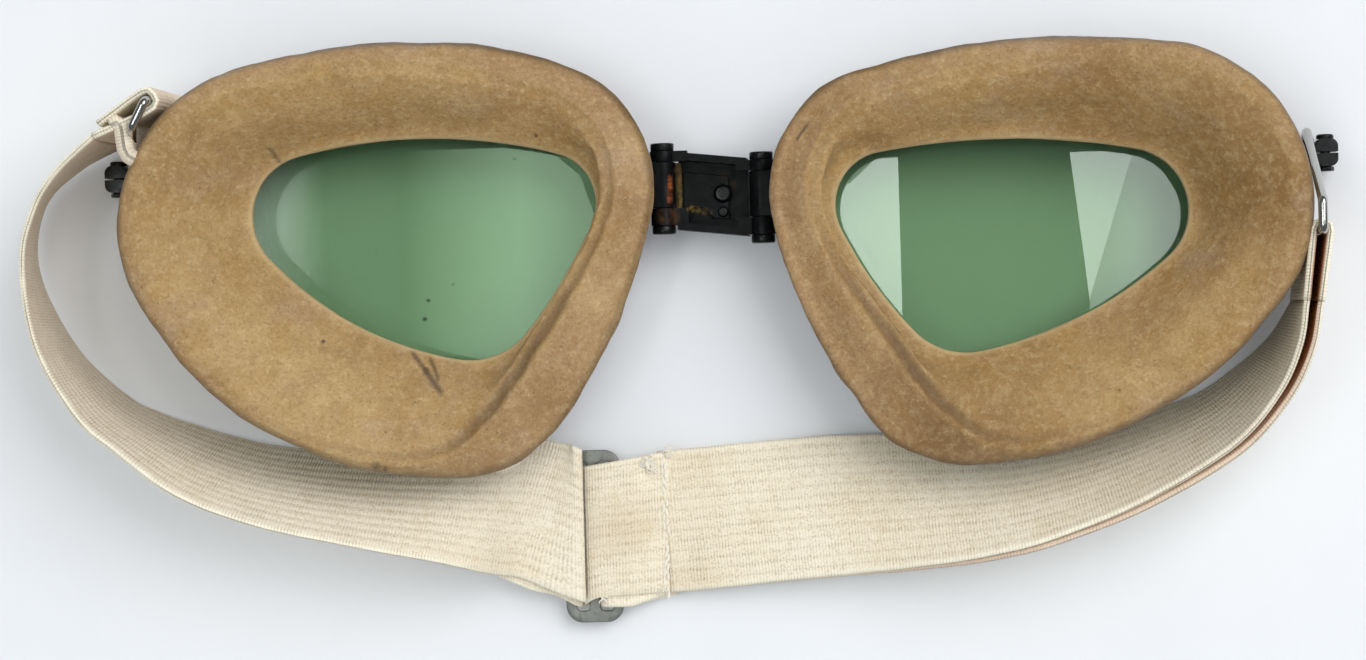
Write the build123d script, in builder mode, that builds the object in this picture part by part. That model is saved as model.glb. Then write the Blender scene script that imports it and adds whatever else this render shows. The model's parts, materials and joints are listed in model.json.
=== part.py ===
from build123d import *
from math import acos, atan2, cos, hypot, radians, sin, sqrt, tan
import os

os.makedirs("parts", exist_ok=True)

# Aviator goggles lying with the lenses down, millimetres. The wearer's side is up, +X runs to
# the right eyecup and +Y to the brow. The origin is the middle of the footprint.

# The whole
middle_x = 6.4  # from the origin to the middle of the nose
middle_y = 13.8
side_step = 2.0  # the left cup stands this much nearer the brow than the right one
running = 0.1  # between pieces that slide past or into each other
pin_play = 0.05  # radial, a hinge barrel on its pin
overrun = 2.0  # cutters pass through by this much

# Eyecup outlines: three rounded corners joined by three bulged sides
# each corner is x, y and radius, as shares of the cup's width; the cup's own y starts at mid height
cup_width = 92.0
frame_shares = [(0.332, 0.103, 0.210), (0.495, -0.136, 0.261), (0.804, 0.074, 0.255)]
frame_bulge_shares = [1.03, 0.67, 1.14]
cushion_shares = [(0.333, 0.116, 0.228), (0.496, -0.139, 0.266), (0.821, 0.076, 0.280)]
cushion_bulge_shares = [1.08, 0.63, 1.03]
crest_shares = [(0.364, 0.103, 0.190), (0.565, -0.120, 0.239), (0.821, 0.074, 0.257)]
crest_bulge_shares = [1.03, 0.65, 1.03]
opening_shares = [(0.324, 0.092, 0.098), (0.467, -0.060, 0.135), (0.766, 0.074, 0.116)]
opening_bulge_shares = [0.91, 0.70, 1.13]

# Front rim, lens and gasket
rim_inset = 5.0  # from the rear flange's outline to the rim's
rim_wall = 1.0
rim_height = 6.4
lip_height = 1.0
lip_depth = 4.0  # how far the front lip reaches in from the rim's outline
back_lip_depth = 2.2
lens_thickness = 2.0
lens_grip = 0.8  # the gasket's wall round the glass edge
gasket_flange = 0.6
gasket_depth = 2.8

# Frame body
body_wall = 1.2
body_flange = 1.2  # thickness of both flanges
neck_top = 6.6
flange_z = 11.0
flange_width = 4.0
vent_width = 3.0
vent_height = 1.8
vent_pitch = 6.5
vent_count = 4
vent_z = 8.9
vent_x_share = 0.5435

# Cushion
band_thickness = 1.0
band_overhang = 0.2
band_width = 4.2
base_inset = 2.4
boundary_rise = 4.4  # from the cushion's base to its widest line
crest_rise = 10.4  # from the base to the crest at the middle of the cup
crest_middle_share = 0.6087
crest_tilt = 6.3
shoulder_drop = 2.4
shoulder_spread = 1.3
crest_land = 1.5
opening_lip = 1.2
funnel_share = 0.52  # how far out the funnel's middle lies
funnel_rise_share = 0.74

# Hinges and nose bridge
pin_x = 8.65
pin_y = 10.5
pin_drop = 0.3  # from the rear flange down to the hinge barrels
pin_radius = 1.2
barrel_radius = 2.2
knuckle_up = 4.7
knuckle_down = 3.3
upper_barrel = 1.8
lower_barrel = 3.0
head_radius = 2.05
head_height = 1.4
nut_height = 1.5
bridge_upper = 6.7  # pin middle to the channel's upper side
bridge_lower = 6.9
channel_sheet = 1.3
channel_front = 3.6
channel_back = 9.6
leaf_bite = 6.8  # how far the nose lug's leaf runs in under the flange
leaf_sheet = 1.4
plate_sheet = 1.0
plate_left = -5.2
plate_right = 2.6
plate_notch = 1.6
plate_upper = 3.4
plate_lower = 4.2
dome_x = 1.6
dome_y = 0.2
dome_radius = 1.7
dome_height = 0.9
rivet_radius = 0.8
small_y = -3.0
small_radius = 1.0
small_height = 0.5

# Clamp ears, their screw and the bails
ear_y_share = 0.1674
ear_z = 4.6
ear_bite = 6.43  # how far the ear's root reaches in from the rim's far edge
ear_stub = 5.97  # from the rim's far edge to the neck
ear_neck = 5.9
ear_tip_length = 4.0
ear_width = 4.8
ear_height = 4.8
ear_root_height = 3.6
ear_split = 0.3
neck_radius = 2.35
screw_radius = 0.9
screw_head_radius = 1.5
screw_head_height = 0.8
wire_radius = 0.8
bow_play = 0.5
bail_length = 13.9
bail_spare = 2.8  # the crossbar is this much longer than the webbing is wide
bail_bend_radius = 0.9
bail_shoulder = 5.0  # the upper leg runs square to the crossbar this far
right_bail_place = 4.8  # from the start of the ear's neck
left_bail_place = 3.6
left_bail_turn = 28.0

# Webbing and slider
web_width = 25.0
web = 1.0
web_gap = 0.1
span_share = 1.0465  # the strap's reach to each side, of the right bail's own
slider_place_shares = (-0.2148, -0.4556)
slider_bar = 1.8
slider_end = 2.0
slider_slot = 2.4
slot_spare = 1.4  # the slots are this much longer than the webbing is wide
slider_sheet = 1.1
slider_corner = 3.0
web_rest = 0.1  # the webbing's lowest face above the table
bend_radius = 0.7
lead = 1.2  # flat webbing between the slider and the left run
fall_length = 7.0
sewn_length = 1.6  # from the foot of the fall to the right run
# left run, from the slider to the end at the left bail: x and y of the webbing's middle as shares
# of the reach, its height as a share of the webbing's width, then the heading in plan and the lean
# out of upright, degrees
left_run_shares = [
    (-0.3150, -0.4340, 0.186, 174, -84),
    (-0.4213, -0.3954, 0.376, 171, -55),
    (-0.5685, -0.3824, 0.424, 173, -40),
    (-0.7204, -0.3593, 0.468, 168, -31),
    (-0.8389, -0.3241, 0.496, 161, -24),
    (-0.9491, -0.2796, 0.520, 149, -15),
    (-1.0352, -0.2148, 0.536, 130, -7),
    (-1.0926, -0.1074, 0.544, 108, -2),
    (-1.1083, 0.0056, 0.544, 91, 2),
    (-1.0870, 0.0963, 0.548, 66, 4),
]
# its last two places, outwards and towards the brow from the left clamp screw's head, as shares
# of the webbing's width
left_turn_shares = [
    (0.228, -0.076, 0.566, 45, 3),
    (-0.040, 0.132, 0.592, 31, 0),
]
# right run, from the sewn seam to the right bail; the last share is the step between the middles
# of the two layers, in thicknesses of webbing
right_run_shares = [
    (-0.0200, -0.4400, 0.108, 5, 84, 1.35),
    (0.2056, -0.4160, 0.186, 5, 75, 1.35),
    (0.4444, -0.4060, 0.363, 6, 50, 1.40),
    (0.5667, -0.3830, 0.423, 11, 40, 1.51),
    (0.6759, -0.3500, 0.471, 20, 31, 1.62),
    (0.7963, -0.2954, 0.500, 34, 22, 1.84),
    (0.8690, -0.2324, 0.516, 48, 15, 2.05),
    (0.9150, -0.1700, 0.557, 64, 7, 2.27),
    (0.9400, -0.1050, 0.596, 84, 0, 2.38),
]

# Worked out from the above
mid_plane = Plane.YZ.offset(middle_x)
middle = Plane(origin=(middle_x, middle_y, 0))
right_cup = Plane(origin=(middle_x, middle_y - side_step / 2, 0))
band_z = flange_z + body_flange
cushion_z = band_z + band_thickness
lens_z = lip_height + gasket_flange
body_front = lens_z + lens_thickness + gasket_flange
lens_inset = rim_inset + rim_wall + lens_grip
neck_inset = rim_inset + back_lip_depth + running
bow_radius = neck_radius + bow_play + wire_radius
nose_edge = (frame_shares[0][0] - frame_shares[0][2]) * cup_width
rim_edge = (frame_shares[2][0] + frame_shares[2][2]) * cup_width - rim_inset
leaf_reach = nose_edge + leaf_bite
ear_y = ear_y_share * cup_width
ear_root = rim_edge - ear_bite
ear_neck_start = rim_edge + ear_stub
ear_neck_end = ear_neck_start + ear_neck
ear_tip = ear_neck_end + ear_tip_length
screw_x = ear_tip - ear_tip_length / 2
half_span = span_share * (ear_neck_start + right_bail_place)
pin_z = flange_z - barrel_radius - pin_drop
slider_x = slider_place_shares[0] * half_span
slider_y = slider_place_shares[1] * half_span
slider_slot_length = web_width + slot_spare
slider_length = slider_slot_length + 2 * slider_end
bail_width = web_width + bail_spare
crest_z = cushion_z + crest_rise


def corner_list(shares):
    return [(x * cup_width, y * cup_width, r * cup_width) for x, y, r in shares]


def bulge_list(shares):
    return [share * cup_width for share in shares]


def bulge_centre(first, second, radius):
    """The middle of the arc that holds both corner circles inside it."""
    reach_1, reach_2 = radius - first[2], radius - second[2]
    step_x, step_y = second[0] - first[0], second[1] - first[1]
    gap = hypot(step_x, step_y)
    along = (reach_1**2 - reach_2**2 + gap**2) / (2 * gap)
    across = sqrt(reach_1**2 - along**2)
    x = first[0] + (step_x * along - step_y * across) / gap
    y = first[1] + (step_y * along + step_x * across) / gap
    return x, y


def bearing(start, through):
    """The direction from one point to another."""
    return atan2(through[1] - start[1], through[0] - start[0])


def arc_through(centre, radius, turn_1, turn_2):
    """Start, middle and end of an arc that runs counter-clockwise."""
    while turn_2 < turn_1:
        turn_2 += radians(360)
    turns = (turn_1, (turn_1 + turn_2) / 2, turn_2)
    return [(centre[0] + radius * cos(t), centre[1] + radius * sin(t)) for t in turns]


def draw_outline(corners, bulges, inset=0):
    """A closed line of six tangent arcs; an inset draws it smaller all round."""
    centres = [bulge_centre(corners[i], corners[(i + 1) % 3], bulges[i]) for i in range(3)]
    for i in range(3):
        corner, following = corners[i], corners[(i + 1) % 3]
        before, after = centres[(i + 2) % 3], centres[i]
        turn_1 = bearing(before, corner)
        turn_2 = bearing(after, corner)
        turn_3 = bearing(after, following)
        ThreePointArc(*arc_through(corner, corner[2] - inset, turn_1, turn_2))
        ThreePointArc(*arc_through(after, bulges[i] - inset, turn_2, turn_3))


def blend_corners(first, second, share):
    return [
        tuple(a + (b - a) * share for a, b in zip(one, other))
        for one, other in zip(first, second)
    ]


def blend_list(first, second, share):
    return [a + (b - a) * share for a, b in zip(first, second)]


frame_corners, frame_bulges = corner_list(frame_shares), bulge_list(frame_bulge_shares)
cushion_corners, cushion_bulges = corner_list(cushion_shares), bulge_list(cushion_bulge_shares)
crest_corners, crest_bulges = corner_list(crest_shares), bulge_list(crest_bulge_shares)
opening_corners, opening_bulges = corner_list(opening_shares), bulge_list(opening_bulge_shares)
pieces = []


def frame_sketch(z, inset):
    """The frame's outline on the right cup at a height, drawn in by an inset."""
    with BuildSketch(right_cup.offset(z)) as sketch:
        with BuildLine():
            draw_outline(frame_corners, frame_bulges, inset)
        make_face()
    return sketch.sketch


def soft_sketch(corners, bulges, inset, height, tilt):
    """A cushion outline on a plane that may tilt up towards the temple."""
    crest_middle_x = crest_middle_share * cup_width
    start = right_cup.from_local_coords(Vector(crest_middle_x, 0, height))
    plane = Plane(origin=start, x_dir=(cos(radians(tilt)), 0, sin(radians(tilt))),
                  z_dir=(-sin(radians(tilt)), 0, cos(radians(tilt))))
    shifted = [(x - crest_middle_x, y, r) for x, y, r in corners]
    with BuildSketch(plane) as sketch:
        with BuildLine():
            draw_outline(shifted, bulges, inset)
        make_face()
    return sketch.sketch


def finish(builder, node):
    builder.part.label = node
    export_step(builder.part, f"parts/{node}.step")
    pieces.append(builder.part)


def other_side(builder):
    """The right cup's piece, raised so that its mirror image fits the left cup."""
    return builder.part.moved(Location((0, side_step, 0)))


# Front rim with its clamp ears
with BuildPart() as right_rim:
    extrude(frame_sketch(0, rim_inset), amount=rim_height)
    ear_middle = (ear_root + ear_neck_start) / 2
    with BuildSketch(right_cup.offset(ear_z - ear_root_height / 2)):
        with Locations((ear_middle, ear_y)):
            Rectangle(ear_neck_start - ear_root, ear_width)
    extrude(amount=ear_root_height)
    with BuildSketch(right_cup.offset(ear_z - ear_height / 2)):
        with Locations(((ear_neck_end + ear_tip) / 2, ear_y)):
            RectangleRounded(ear_tip - ear_neck_end, ear_width, (ear_tip - ear_neck_end) / 3)
    extrude(amount=ear_height)
    with BuildSketch(Plane(right_cup.from_local_coords(Vector(ear_neck_start, ear_y, ear_z)),
                           x_dir=(0, 1, 0), z_dir=(1, 0, 0))):
        Circle(neck_radius)
    extrude(amount=ear_neck_end - ear_neck_start)
    extrude(frame_sketch(-overrun, rim_inset + lip_depth), amount=rim_height + 2 * overrun,
            mode=Mode.SUBTRACT)
    extrude(frame_sketch(lip_height, rim_inset + rim_wall),
            amount=rim_height - 2 * lip_height, mode=Mode.SUBTRACT)
    extrude(frame_sketch(lip_height, rim_inset + back_lip_depth),
            amount=rim_height + overrun, mode=Mode.SUBTRACT)
    with BuildSketch(right_cup.offset(-overrun)):
        with Locations((ear_root, ear_y)):
            Rectangle(ear_tip - ear_root + overrun, ear_split, align=(Align.MIN, Align.CENTER))
    extrude(amount=rim_height + 2 * overrun, mode=Mode.SUBTRACT)
    with BuildSketch(Plane(right_cup.from_local_coords(
            Vector(screw_x, ear_y - ear_width, ear_z)), x_dir=(1, 0, 0), z_dir=(0, 1, 0))):
        Circle(screw_radius + pin_play)
    extrude(amount=2 * ear_width, mode=Mode.SUBTRACT)
finish(right_rim, "right_front_rim")

with BuildPart() as left_rim:
    mirror(other_side(right_rim), about=mid_plane)
finish(left_rim, "left_front_rim")

# Clamp screw and nut
with BuildPart() as right_screw:
    with BuildSketch(Plane(right_cup.from_local_coords(
            Vector(screw_x, ear_y - ear_width / 2 - screw_head_height, ear_z)),
            x_dir=(1, 0, 0), z_dir=(0, 1, 0))):
        Circle(screw_radius)
    extrude(amount=ear_width + screw_head_height)
    with BuildSketch(Plane(right_cup.from_local_coords(
            Vector(screw_x, ear_y + ear_width / 2, ear_z)), x_dir=(1, 0, 0), z_dir=(0, 1, 0))):
        Circle(screw_head_radius)
    extrude(amount=screw_head_height)
    fillet(right_screw.faces().sort_by(Axis.Y)[-1].edges(), screw_head_height / 2)
    with BuildSketch(Plane(right_cup.from_local_coords(
            Vector(screw_x, ear_y + ear_width / 2 + screw_head_height, ear_z)),
            x_dir=(1, 0, 0), z_dir=(0, -1, 0))):
        Rectangle(2 * screw_head_radius + overrun, screw_radius / 2)
    extrude(amount=screw_head_height / 2, mode=Mode.SUBTRACT)
finish(right_screw, "right_clamp_screw")

with BuildPart() as left_screw:
    mirror(other_side(right_screw), about=mid_plane)
finish(left_screw, "left_clamp_screw")

with BuildPart() as right_nut:
    with BuildSketch(Plane(right_cup.from_local_coords(
            Vector(screw_x, ear_y - ear_width / 2, ear_z)), x_dir=(1, 0, 0), z_dir=(0, -1, 0))):
        RegularPolygon(screw_head_radius, 6)
        Circle(screw_radius, mode=Mode.SUBTRACT)
    extrude(amount=screw_head_height)
finish(right_nut, "right_clamp_nut")

with BuildPart() as left_nut:
    mirror(other_side(right_nut), about=mid_plane)
finish(left_nut, "left_clamp_nut")

# Lens
with BuildPart() as right_lens:
    extrude(frame_sketch(lens_z, lens_inset), amount=lens_thickness)
finish(right_lens, "right_lens")

with BuildPart() as left_lens:
    mirror(other_side(right_lens), about=mid_plane)
finish(left_lens, "left_lens")

# Rubber channel round the lens
with BuildPart() as right_gasket:
    extrude(frame_sketch(lip_height, rim_inset + rim_wall), amount=body_front - lip_height)
    extrude(frame_sketch(0, rim_inset + rim_wall + gasket_depth), amount=rim_height,
            mode=Mode.SUBTRACT)
    extrude(frame_sketch(lens_z, lens_inset), amount=lens_thickness, mode=Mode.SUBTRACT)
finish(right_gasket, "right_lens_gasket")

with BuildPart() as left_gasket:
    mirror(other_side(right_gasket), about=mid_plane)
finish(left_gasket, "left_lens_gasket")

# Frame body: front flange, neck, flared wall with vents, rear flange
flare_inset = flange_width - body_wall
with BuildPart() as body_envelope:
    extrude(frame_sketch(body_front, neck_inset), amount=neck_top - body_front)
    loft([frame_sketch(neck_top, neck_inset), frame_sketch(flange_z, flare_inset)], ruled=True)

with BuildPart() as right_body:
    add(body_envelope.part)
    extrude(frame_sketch(body_front, rim_inset + rim_wall + running), amount=body_flange)
    extrude(frame_sketch(flange_z, 0), amount=body_flange)
    extrude(frame_sketch(0, neck_inset + body_wall), amount=neck_top, mode=Mode.SUBTRACT)
    loft([frame_sketch(neck_top, neck_inset + body_wall),
          frame_sketch(flange_z, flange_width)], ruled=True, mode=Mode.SUBTRACT)
    extrude(frame_sketch(flange_z, flange_width), amount=body_flange, mode=Mode.SUBTRACT)
    vent_start = right_cup.from_local_coords(Vector(vent_x_share * cup_width, -cup_width, vent_z))
    with BuildSketch(Plane(vent_start, x_dir=(1, 0, 0), z_dir=(0, 1, 0))):
        with GridLocations(vent_pitch, vent_height, vent_count, 1):
            SlotOverall(vent_width, vent_height)
    extrude(amount=2 * cup_width, mode=Mode.SUBTRACT)
finish(right_body, "right_frame_body")

with BuildPart() as left_body:
    mirror(other_side(right_body), about=mid_plane)
finish(left_body, "left_frame_body")

# Rubber band under the cushion
with BuildPart() as right_band:
    extrude(frame_sketch(band_z, -band_overhang), amount=band_thickness)
    extrude(frame_sketch(band_z, band_width), amount=band_thickness, mode=Mode.SUBTRACT)
finish(right_band, "right_cushion_band")

with BuildPart() as left_band:
    mirror(other_side(right_band), about=mid_plane)
finish(left_band, "left_cushion_band")

# Padded face cushion: drawn-in foot, widest line, rounded crest and sloping funnel
with BuildPart() as right_cushion:
    loft([
        soft_sketch(cushion_corners, cushion_bulges, base_inset, cushion_z, 0),
        soft_sketch(cushion_corners, cushion_bulges, 0, cushion_z + boundary_rise, 0),
        soft_sketch(crest_corners, crest_bulges, -shoulder_spread, crest_z - shoulder_drop,
                    crest_tilt),
        soft_sketch(crest_corners, crest_bulges, 0, crest_z, crest_tilt),
    ])
    funnel_corners = blend_corners(opening_corners, crest_corners, funnel_share)
    funnel_bulges = blend_list(opening_bulges, crest_bulges, funnel_share)
    extrude(soft_sketch(opening_corners, opening_bulges, 0, cushion_z - overrun, 0),
            amount=overrun + opening_lip, mode=Mode.SUBTRACT)
    loft([
        soft_sketch(opening_corners, opening_bulges, 0, cushion_z + opening_lip, 0),
        soft_sketch(funnel_corners, funnel_bulges, crest_land * funnel_share,
                    cushion_z + crest_rise * funnel_rise_share, crest_tilt * funnel_rise_share),
        soft_sketch(crest_corners, crest_bulges, crest_land, crest_z, crest_tilt),
    ], mode=Mode.SUBTRACT)
finish(right_cushion, "right_face_cushion")

with BuildPart() as left_cushion:
    mirror(other_side(right_cushion), about=mid_plane)
finish(left_cushion, "left_face_cushion")


# Nose lug: a leaf under the flange with the knuckle round the hinge pin
def along_y(x, y, z):
    """A plane on the right cup that faces the brow, for what turns about a pin."""
    return Plane(right_cup.from_local_coords(Vector(x, y, z)), x_dir=(1, 0, 0), z_dir=(0, 1, 0))


with BuildPart() as right_lug:
    with BuildSketch(along_y(pin_x, pin_y - knuckle_down, pin_z)):
        Circle(barrel_radius)
        with Locations((0, -barrel_radius)):
            Rectangle(leaf_reach - pin_x, leaf_sheet, align=(Align.MIN, Align.MIN))
    extrude(amount=knuckle_up + knuckle_down)
    with BuildSketch(along_y(pin_x, pin_y - knuckle_down, pin_z)):
        Circle(pin_radius + pin_play)
    extrude(amount=knuckle_up + knuckle_down, mode=Mode.SUBTRACT)
    add(body_envelope.part, mode=Mode.SUBTRACT)
finish(right_lug, "right_nose_lug")

with BuildPart() as left_lug:
    mirror(other_side(right_lug), about=mid_plane)
finish(left_lug, "left_nose_lug")


# Nose bridge channel: web, two slanted flanges and four barrels
def pin_height(side):
    """The hinge's mid height on a side, +1 right and -1 left."""
    return pin_y - side * side_step / 2


def bridge_plane(x, y, z):
    return Plane(middle.from_local_coords(Vector(x, y, z)), x_dir=(1, 0, 0), z_dir=(0, 1, 0))


slope = -side_step / (2 * pin_x)


def slanted(x, rise):
    """A point on the bridge that follows the fall from the left hinge to the right one."""
    return (x, pin_y + slope * x + rise)


upper_barrel_start = knuckle_up + running
lower_barrel_start = knuckle_down + running
web_half = pin_x - barrel_radius - 3 * running
with BuildPart() as channel:
    with BuildSketch(middle.offset(channel_front)):
        with BuildLine():
            Polyline(slanted(-web_half, bridge_upper), slanted(web_half, bridge_upper),
                     slanted(web_half, -bridge_lower), slanted(-web_half, -bridge_lower),
                     close=True)
        make_face()
    extrude(amount=channel_sheet)
    for top, bottom in ((bridge_upper, bridge_upper - channel_sheet),
                        (channel_sheet - bridge_lower, -bridge_lower)):
        with BuildSketch(middle.offset(channel_front)):
            with BuildLine():
                Polyline(slanted(-web_half, top), slanted(web_half, top),
                         slanted(web_half, bottom), slanted(-web_half, bottom), close=True)
            make_face()
        extrude(amount=channel_back - channel_front)
    for side in (-1, 1):
        middle_pin = pin_height(side)
        for start, length in ((upper_barrel_start, upper_barrel),
                              (-lower_barrel_start - lower_barrel, lower_barrel)):
            with BuildSketch(bridge_plane(side * pin_x, middle_pin + start, pin_z)):
                Circle(barrel_radius)
                with Locations((-side * barrel_radius, 0)):
                    Rectangle(2 * barrel_radius, 2 * (channel_back - pin_z))
            extrude(amount=length)
        with BuildSketch(bridge_plane(side * pin_x, middle_pin - bridge_lower - overrun, pin_z)):
            Circle(pin_radius + pin_play)
        extrude(amount=bridge_upper + bridge_lower + 2 * overrun, mode=Mode.SUBTRACT)
    with BuildSketch(middle.offset(channel_front - overrun)):
        with Locations(slanted(dome_x, dome_y), slanted(dome_x, small_y)):
            Circle(rivet_radius)
    extrude(amount=channel_sheet + 2 * overrun, mode=Mode.SUBTRACT)
finish(channel, "bridge_channel")

# Notched inner plate and its rivets
with BuildPart() as inner_plate:
    with BuildSketch(middle.offset(channel_front + channel_sheet)):
        with BuildLine():
            Polyline(slanted(plate_left, plate_upper), slanted(plate_right, plate_upper),
                     slanted(plate_right, -plate_lower),
                     slanted(dome_x - plate_notch, -plate_lower),
                     slanted(dome_x - 2 * plate_notch, plate_notch - plate_lower),
                     slanted(plate_left + plate_notch, plate_notch - plate_lower),
                     slanted(plate_left, -plate_lower), close=True)
        make_face()
        with Locations(slanted(dome_x, dome_y), slanted(dome_x, small_y)):
            Circle(rivet_radius, mode=Mode.SUBTRACT)
    extrude(amount=plate_sheet)
finish(inner_plate, "bridge_inner_plate")

rivet_top = channel_front + channel_sheet + plate_sheet
with BuildPart() as rivets:
    for rise, radius, height in ((dome_y, dome_radius, dome_height),
                                 (small_y, small_radius, small_height)):
        with BuildSketch(middle.offset(channel_front)):
            with Locations(slanted(dome_x, rise)):
                Circle(rivet_radius)
        extrude(amount=rivet_top - channel_front)
        with BuildSketch(middle.offset(rivet_top)):
            with Locations(slanted(dome_x, rise)):
                Circle(radius)
        extrude(amount=height, taper=30)
finish(rivets, "bridge_rivets")

# Hinge pins, each with a turned head above and a nut below
for side, name in ((-1, "left"), (1, "right")):
    middle_pin = pin_height(side)
    head_start = middle_pin + upper_barrel_start + upper_barrel
    nut_start = middle_pin - lower_barrel_start - lower_barrel
    with BuildPart() as pin:
        with BuildSketch(bridge_plane(side * pin_x, nut_start - nut_height, pin_z)):
            Circle(pin_radius)
        extrude(amount=head_start - nut_start + nut_height)
        with BuildSketch(bridge_plane(side * pin_x, head_start, pin_z)):
            Circle(head_radius)
        extrude(amount=head_height)
        fillet(pin.faces().sort_by(Axis.Y)[-1].edges(), head_height / 5)
    finish(pin, f"hinge_pin_{name}")
    with BuildPart() as pin_nut:
        with BuildSketch(bridge_plane(side * pin_x, nut_start - nut_height, pin_z)):
            Circle(head_radius)
            Circle(pin_radius, mode=Mode.SUBTRACT)
        extrude(amount=nut_height)
    finish(pin_nut, f"hinge_nut_{name}")


# Bails: a wire bow round the ear's neck, two legs and a crossbar
def bail_frame(side):
    """The plane of a bail's wire: its x runs from the neck to the crossbar, its y is up."""
    if side > 0:
        at_x = ear_neck_start + right_bail_place
    else:
        at_x = -ear_neck_start - left_bail_place
    at_y = ear_y - side * side_step / 2
    turn = radians(-90) if side > 0 else radians(90 - left_bail_turn)
    run = (cos(turn), sin(turn), 0)
    return Plane(middle.from_local_coords(Vector(at_x, at_y, ear_z)), x_dir=run,
                 z_dir=(run[1], -run[0], 0))


shoulder = (bail_length - bail_shoulder, bail_width - bow_radius)
leg_turn = atan2(shoulder[1], shoulder[0]) + acos(bow_radius / hypot(*shoulder))
bow_arc = arc_through((0, 0), bow_radius, leg_turn, radians(270))
for side, name in ((1, "right"), (-1, "left")):
    with BuildPart() as bail:
        with BuildLine(bail_frame(side)) as wire_line:
            ThreePointArc(*bow_arc)
            FilletPolyline(bow_arc[2], (bail_length, -bow_radius),
                           (bail_length, bail_width - bow_radius), shoulder, bow_arc[0],
                           radius=bail_bend_radius)
        wire = wire_line.wires()[0]
        with BuildSketch(Plane(origin=wire @ 0, z_dir=wire % 0)):
            Circle(wire_radius)
        sweep(path=wire)
    finish(bail, f"{name}_bail")

# Three-bar slider
slot_step = (slider_bar + slider_slot) / 2
slider_width = 3 * slider_bar + 2 * slider_slot
under_z = web_rest + web / 2
return_z = under_z + web + web_gap
slider_z = return_z + web / 2 + web_gap
over_z = slider_z + slider_sheet + web_gap + web / 2
second_z = over_z + web + web_gap
third_z = second_z + web + web_gap
with BuildPart() as slider:
    with BuildSketch(middle.offset(slider_z)):
        with Locations((slider_x, slider_y)):
            RectangleRounded(slider_width, slider_length, slider_corner)
        with Locations((slider_x - slot_step, slider_y), (slider_x + slot_step, slider_y)):
            RectangleRounded(slider_slot, slider_slot_length, slider_slot / 3, mode=Mode.SUBTRACT)
    extrude(amount=slider_sheet)
finish(slider, "strap_slider")

# Webbing threaded over the outer bars and under the middle one
left_slot = slider_x - slider_bar / 2 - slider_slot
right_slot = slider_x + slider_bar / 2 + slider_slot
down_x = left_slot + web_gap + web / 2
up_x = right_slot - web_gap - web / 2
thread_start = slider_x - slider_width / 2 - lead
fall_start = right_slot + slider_bar + web
fall_end = fall_start + fall_length
seam_x = fall_end + sewn_length
fall_slope = atan2(over_z - under_z, fall_end - fall_start)
fall_step = (web + web_gap) * tan(fall_slope / 2)
front_z = return_z + web + web_gap
side_plane = Plane(middle.from_local_coords(Vector(0, slider_y + web_width / 2, 0)),
                   x_dir=(1, 0, 0), z_dir=(0, -1, 0))


def strip(points, radius):
    """Webbing drawn from the side as a line of even thickness."""
    with BuildSketch(side_plane) as sketch:
        with BuildLine() as line:
            FilletPolyline(*points, radius=radius)
        trace(line.line, line_width=web)
    return sketch.sketch


with BuildPart() as threaded:
    extrude(strip([(thread_start + web_gap, over_z), (down_x, over_z), (down_x, under_z),
                   (up_x, under_z), (up_x, over_z), (fall_start, over_z), (fall_end, under_z),
                   (seam_x - web_gap, under_z)], bend_radius),
            amount=web_width)
finish(threaded, "strap_threaded")

# Webbing end folded round the middle bar and sewn under the inner layer
wrap_x = slider_x - slider_bar / 2 - web_gap - web / 2
rise_x = slider_x + slider_bar / 2 + web_gap + web / 2
tuck_x = seam_x - web / 2
with BuildPart() as sewn_end:
    extrude(strip([(tuck_x, return_z), (fall_end + fall_step, return_z),
                   (fall_start + fall_step, second_z), (rise_x, second_z), (rise_x, return_z),
                   (wrap_x, return_z), (wrap_x, over_z + web / 2), (rise_x - web / 2, third_z),
                   (fall_start + 2 * fall_step, third_z), (fall_end + 2 * fall_step, front_z),
                   (seam_x - web_gap, front_z)], bend_radius),
            amount=web_width)
finish(sewn_end, "strap_sewn_end")


# Webbing runs, lofted through upright or leaning sections
def run_plane(x, y, z, heading, lean, inward):
    """The webbing's cross-section: its x is the width, moved sideways between layers."""
    turn, tip = radians(heading), radians(lean)
    out = Vector(sin(turn), -cos(turn), 0)
    width_way = out * sin(tip) + Vector(0, 0, cos(tip))
    thick_way = Vector(0, 0, sin(tip)) - out * cos(tip)
    centre = middle.from_local_coords(Vector(x, y, z)) + thick_way * inward
    return Plane(origin=centre, x_dir=width_way, z_dir=(cos(turn), sin(turn), 0))


def web_section(plane):
    with BuildSketch(plane) as sketch:
        Rectangle(web_width, web)
    return sketch.sketch


left_planes = [run_plane(thread_start, slider_y, over_z, 180, -90, 0)]
for x, y, z, heading, lean in left_run_shares:
    left_planes.append(run_plane(x * half_span, y * half_span, z * web_width, heading, lean, 0))
head_y = ear_y + (side_step + ear_width) / 2 + screw_head_height
for x, y, z, heading, lean in left_turn_shares:
    left_planes.append(run_plane(-screw_x - x * web_width, head_y + y * web_width,
                                 z * web_width, heading, lean, 0))
with BuildPart() as left_run:
    loft([web_section(plane) for plane in left_planes])
finish(left_run, "strap_left")

inner_planes = [run_plane(seam_x, slider_y, front_z, 0, 90, 0)]
outer_planes = [run_plane(seam_x, slider_y, under_z, 0, 90, 0)]
for x, y, z, heading, lean, step in right_run_shares:
    for planes, sign in ((inner_planes, 1), (outer_planes, -1)):
        planes.append(run_plane(x * half_span, y * half_span, z * web_width, heading, lean,
                                sign * step * web / 2))
with BuildPart() as inner_run:
    loft([web_section(plane) for plane in inner_planes])
finish(inner_run, "strap_inner")

with BuildPart() as outer_run:
    loft([web_section(plane) for plane in outer_planes])
finish(outer_run, "strap_outer")

# Webbing folded round each bail's crossbar
def crossbar(side):
    return bail_frame(side).from_local_coords(Vector(bail_length, 0, 0))


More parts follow.
